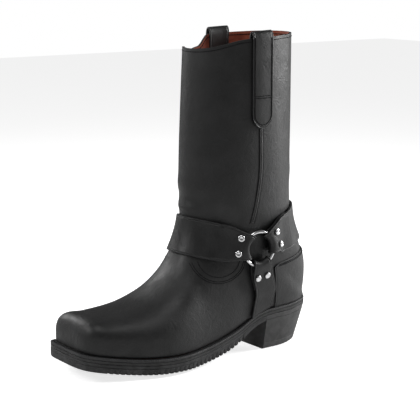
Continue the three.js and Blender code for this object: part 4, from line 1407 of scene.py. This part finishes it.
    def build_seam(self, side: Side) -> None:
        """Builds the raised seam down one side of the leg.

        Args:
            side: The side of the boot.
        """
        shifts = np.array(self.seam_shifts)
        line = curve_through(self.seam_heights, mix(self.seam_top, self.seam_low, shifts))
        section = ((-1, 0.05), (-0.82, 0.5), (-0.3, 0.62), (0.3, 0.62), (0.82, 0.5), (1, 0.05))
        rows = []
        for z in np.linspace(self.seam_heights[0], self.seam_heights[-1] + 4 * MM, 46):
            middle = float(line(z)) + SEAT_X
            places = [((middle + step * self.seam_width / 2, 0, z), lift * MM) for step, lift in section]
            rows.append([self.skin.meet(place, (0, side.value, 0), lift) for place, lift in places])
        name = side.name.lower()
        self.patch(f"side_seam_{name}_dressed", rows, self.seam_thickness, [f"side_seam_{name}"])
        seated = []
        for end, next_to in ((0, 1), (-1, -2)):
            places = [row[end] + (row[end] - row[next_to]).normalized() * 1.5 * MM for row in rows]
            seated.append([self.skin.meet(place, (0, side.value, 0), 0.1 * MM) for place in places])
        self.stitching.lay(f"side_seam_{name}_stitches", seated, Stitch(radius=0.3 * MM), Slot.UPPER)

    def stitch_vamp(self) -> None:
        """Sews the scalloped rows that show below the instep strap on both sides."""
        middle_x, middle_z = self.scallop_middle
        half, deep = self.scallop_size
        lines = []
        for side in Side:
            for share in self.scallop_rows:
                line = []
                for turn in np.linspace(0.04, 0.96, 60) * math.pi:
                    x = middle_x + share * half * math.cos(turn)
                    z = middle_z - share * deep * math.sin(turn) ** 0.8
                    line.append(self.skin.meet((x + SEAT_X, 0, z), (0, side.value, 0), 0.12 * MM))
                lines.append(line)
        self.stitching.lay("vamp_stitches", lines, Stitch(radius=0.42 * MM), Slot.UPPER)

    def rim(self, x: float) -> float:
        """Finds the height of the collar's edge, before its front is cut lower.

        Args:
            x: X from the heel seat's back.

        Returns:
            The height there.
        """
        down = (self.front - x) / (self.front - self.back)
        dip = self.dip * (1 - float(smoothstep(down, 0, 0.36)))
        return mix(0.985 * self.collar, self.collar, min(max(down, 0), 1)) - dip

    def stitch_collar(self) -> None:
        """Sews the collar's edge, seen on both faces of the wall."""
        centre = (self.leg_middle + SEAT_X, 0.0)
        outer, inner = [], []
        for angle in np.linspace(0, 2 * math.pi, 241):
            out = Vector((math.cos(angle), math.sin(angle), 0))
            near = self.skin.meet((*centre, 0.93 * self.collar), out)
            height = self.rim(near.x - SEAT_X) - self.collar_seam - float(self.front_drop(near.x, near.y))
            outer.append(self.skin.meet((*centre, height), out, 0.12 * MM))
            inner.append(self.skin.inside((*centre, height), out, 0.12 * MM))
        self.stitching.lay("collar_stitches", [outer, inner], Stitch(), Slot.UPPER)


@dataclass
class Harness:
    """Straps, rings and studs."""

    finishes: Finishes
    cut_edge: float = 0.55 * MM  # rounding of the straps' edges

    def build(self) -> None:
        """Builds every strap, ring and stud from its CAD solid."""
        for node in ("strap_instep", "strap_heel", "strap_drop_outer", "strap_drop_inner"):
            piece = soften_leather(merged_copy(node, f"{node}_dressed"), self.cut_edge)
            dress(piece, self.finishes.strap, [node])
        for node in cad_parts:
            if node.startswith(("ring_", "stud_")):
                piece = merged_copy(node, f"{node}_dressed")
                soften(piece, 0, 2)
                dress(piece, self.finishes.metal, [node])


@dataclass
class PullStraps:
    """The two pull straps and their stitches."""

    finishes: Finishes
    stitching: Stitching
    width: float = 27 * MM
    drop: float = 101 * MM
    collar: float = 366 * MM
    cut_edge: float = 0.5 * MM
    seam_inset: float = 2.2 * MM
    cross_seams: tuple[float, float] = (297 * MM, 299.4 * MM)
    middles: Sequence[tuple[Side, float]] = ((Side.OUTER, 96.5 * MM), (Side.INNER, 88 * MM))

    def build(self) -> None:
        """Builds both pull straps."""
        for side, middle in self.middles:
            node = f"pull_strap_{side.name.lower()}"
            piece = soften_leather(merged_copy(node, f"{node}_dressed"), self.cut_edge)
            dress(piece, self.finishes.strap, [node])
            self.sew(node, Surface(piece), side, middle)

    def sew(self, node: str, face: Surface, side: Side, middle: float) -> None:
        """Sews a pull strap round its edge and twice across.

        Args:
            node: The strap's CAD node.
            face: Its surface.
            side: The side of the boot that it is on.
            middle: X of its middle line, from the heel seat's back.
        """
        half = self.width / 2 - self.seam_inset
        low = self.collar - self.drop + self.width / 2
        heights = np.linspace(self.collar - 4 * MM, low, 40)
        turns = np.linspace(0, math.pi, 25)
        path = [(half, z) for z in heights]
        path += [(half * math.cos(turn), low - half * math.sin(turn)) for turn in turns]
        path += [(-half, z) for z in heights[::-1]]
        across = [[(step, z) for step in np.linspace(-half, half, 12)] for z in self.cross_seams]
        lines = []
        for line in [path, *across]:
            places = [(middle + x + SEAT_X, 0, z) for x, z in line]
            lines.append([face.meet(place, (0, side.value, 0), 0.1 * MM) for place in places])
        self.stitching.lay(f"{node}_stitches", lines, Stitch(radius=0.55 * MM), Slot.STRAP)


@dataclass
class Studio:
    """Camera, floor and soft light."""

    azimuth: float = 36.396  # degrees from the outer side's view towards the toe
    elevation: float = 11.052
    distance: float = 1.5251
    target: tuple[float, float, float] = (0.130 + SEAT_X, 0.0, 0.165)
    roll: float = 0.0567
    focal_pixels: float = 1337.7
    middle: tuple[float, float] = (211.8, 211.5)  # the lens axis in the photo's frame
    pixels: int = 420
    room_light: float = 0.14  # light of the white room on the boot, of what the camera sees
    floor_half: float = 4.0
    floor_drop: float = 0.5 * MM
    aim: tuple[float, float, float] = (0.05, 0.0, 0.15)  # where the lamps point

    def build(self) -> None:
        """Sets the camera, the lights and the floor."""
        self.build_camera()
        self.build_floor()
        self.build_lights()

    def build_camera(self) -> None:
        """Places the camera at the photo's angle."""
        az, el, roll = (math.radians(value) for value in (self.azimuth, self.elevation, self.roll))
        away = Vector((math.sin(az) * math.cos(el), math.cos(az) * math.cos(el), math.sin(el)))
        level = (-away).cross(Vector((0, 0, 1))).normalized()
        upright = level.cross(-away)
        right = math.cos(roll) * level + math.sin(roll) * upright
        up = math.cos(roll) * upright - math.sin(roll) * level
        lens = bpy.data.cameras.new("camera")
        lens.sensor_width = 36
        lens.lens = self.focal_pixels / self.pixels * lens.sensor_width
        lens.shift_x = (self.pixels / 2 - self.middle[0]) / self.pixels
        lens.shift_y = (self.middle[1] - self.pixels / 2) / self.pixels
        lens.clip_start = 0.05
        camera = bpy.data.objects.new("camera", lens)
        bpy.context.scene.collection.objects.link(camera)
        place = Vector(self.target) + away * self.distance
        turn = Matrix((right, up, away)).transposed().to_4x4()
        camera.matrix_world = Matrix.Translation(place) @ turn
        bpy.context.scene.camera = camera

    def build_floor(self) -> None:
        """Lays the pale floor."""
        half, z = self.floor_half, -self.floor_drop
        points = np.array([(-half, -half, z), (half, -half, z), (half, half, z), (-half, half, z)])
        floor = new_object("floor", points, [(0, 1, 2, 3)])
        floor.data.materials.append(Backdrop("floor_paper").material())

    def build_lights(self) -> None:
        """Hangs four soft lamps in a white room."""
        world = bpy.data.worlds.new("studio")
        world.use_nodes = True
        background = world.node_tree.nodes["Background"]
        seen = add_node(world.node_tree, "ShaderNodeLightPath").outputs["Is Camera Ray"]
        inputs = {"Value": seen, "To Min": self.room_light, "To Max": 1.0}
        strength = add_node(world.node_tree, "ShaderNodeMapRange", inputs)
        put(background.inputs["Strength"], strength.outputs["Result"])
        put(background.inputs["Color"], (1, 1, 1, 1))
        bpy.context.scene.world = world
        bpy.context.scene.view_settings.view_transform = "Standard"
        lights = [  # name, place, size, power
            ("top", (0.35, 0.5, 1.5), 0.8, 5),
            ("toe", (1.3, -0.25, 0.95), 0.5, 6),
            ("back_right", (-1.05, 0.36, 0.55), 0.5, 15),
            ("back_left", (0.5, -1.2, 0.7), 0.5, 6),
        ]
        for name, place, size, power in lights:
            lamp = bpy.data.lights.new(name, "AREA")
            lamp.size = size
            lamp.energy = power
            light = bpy.data.objects.new(name, lamp)
            light.location = place
            back = Vector(place) - Vector(self.aim)
            light.rotation_euler = back.to_track_quat("Z", "Y").to_euler()
            bpy.context.scene.collection.objects.link(light)


def main() -> None:
    """Builds the boot's looks piece by piece."""
    logging.basicConfig(level=logging.INFO, format="%(name)s: %(message)s")
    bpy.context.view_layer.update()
    finishes = Finishes()
    stitching = Stitching(finishes.thread)
    Studio().build()
    Sole(finishes, stitching).build()
    Upper(finishes, stitching).build()
    Harness(finishes).build()
    PullStraps(finishes, stitching).build()


if __name__ == "__main__":
    main()
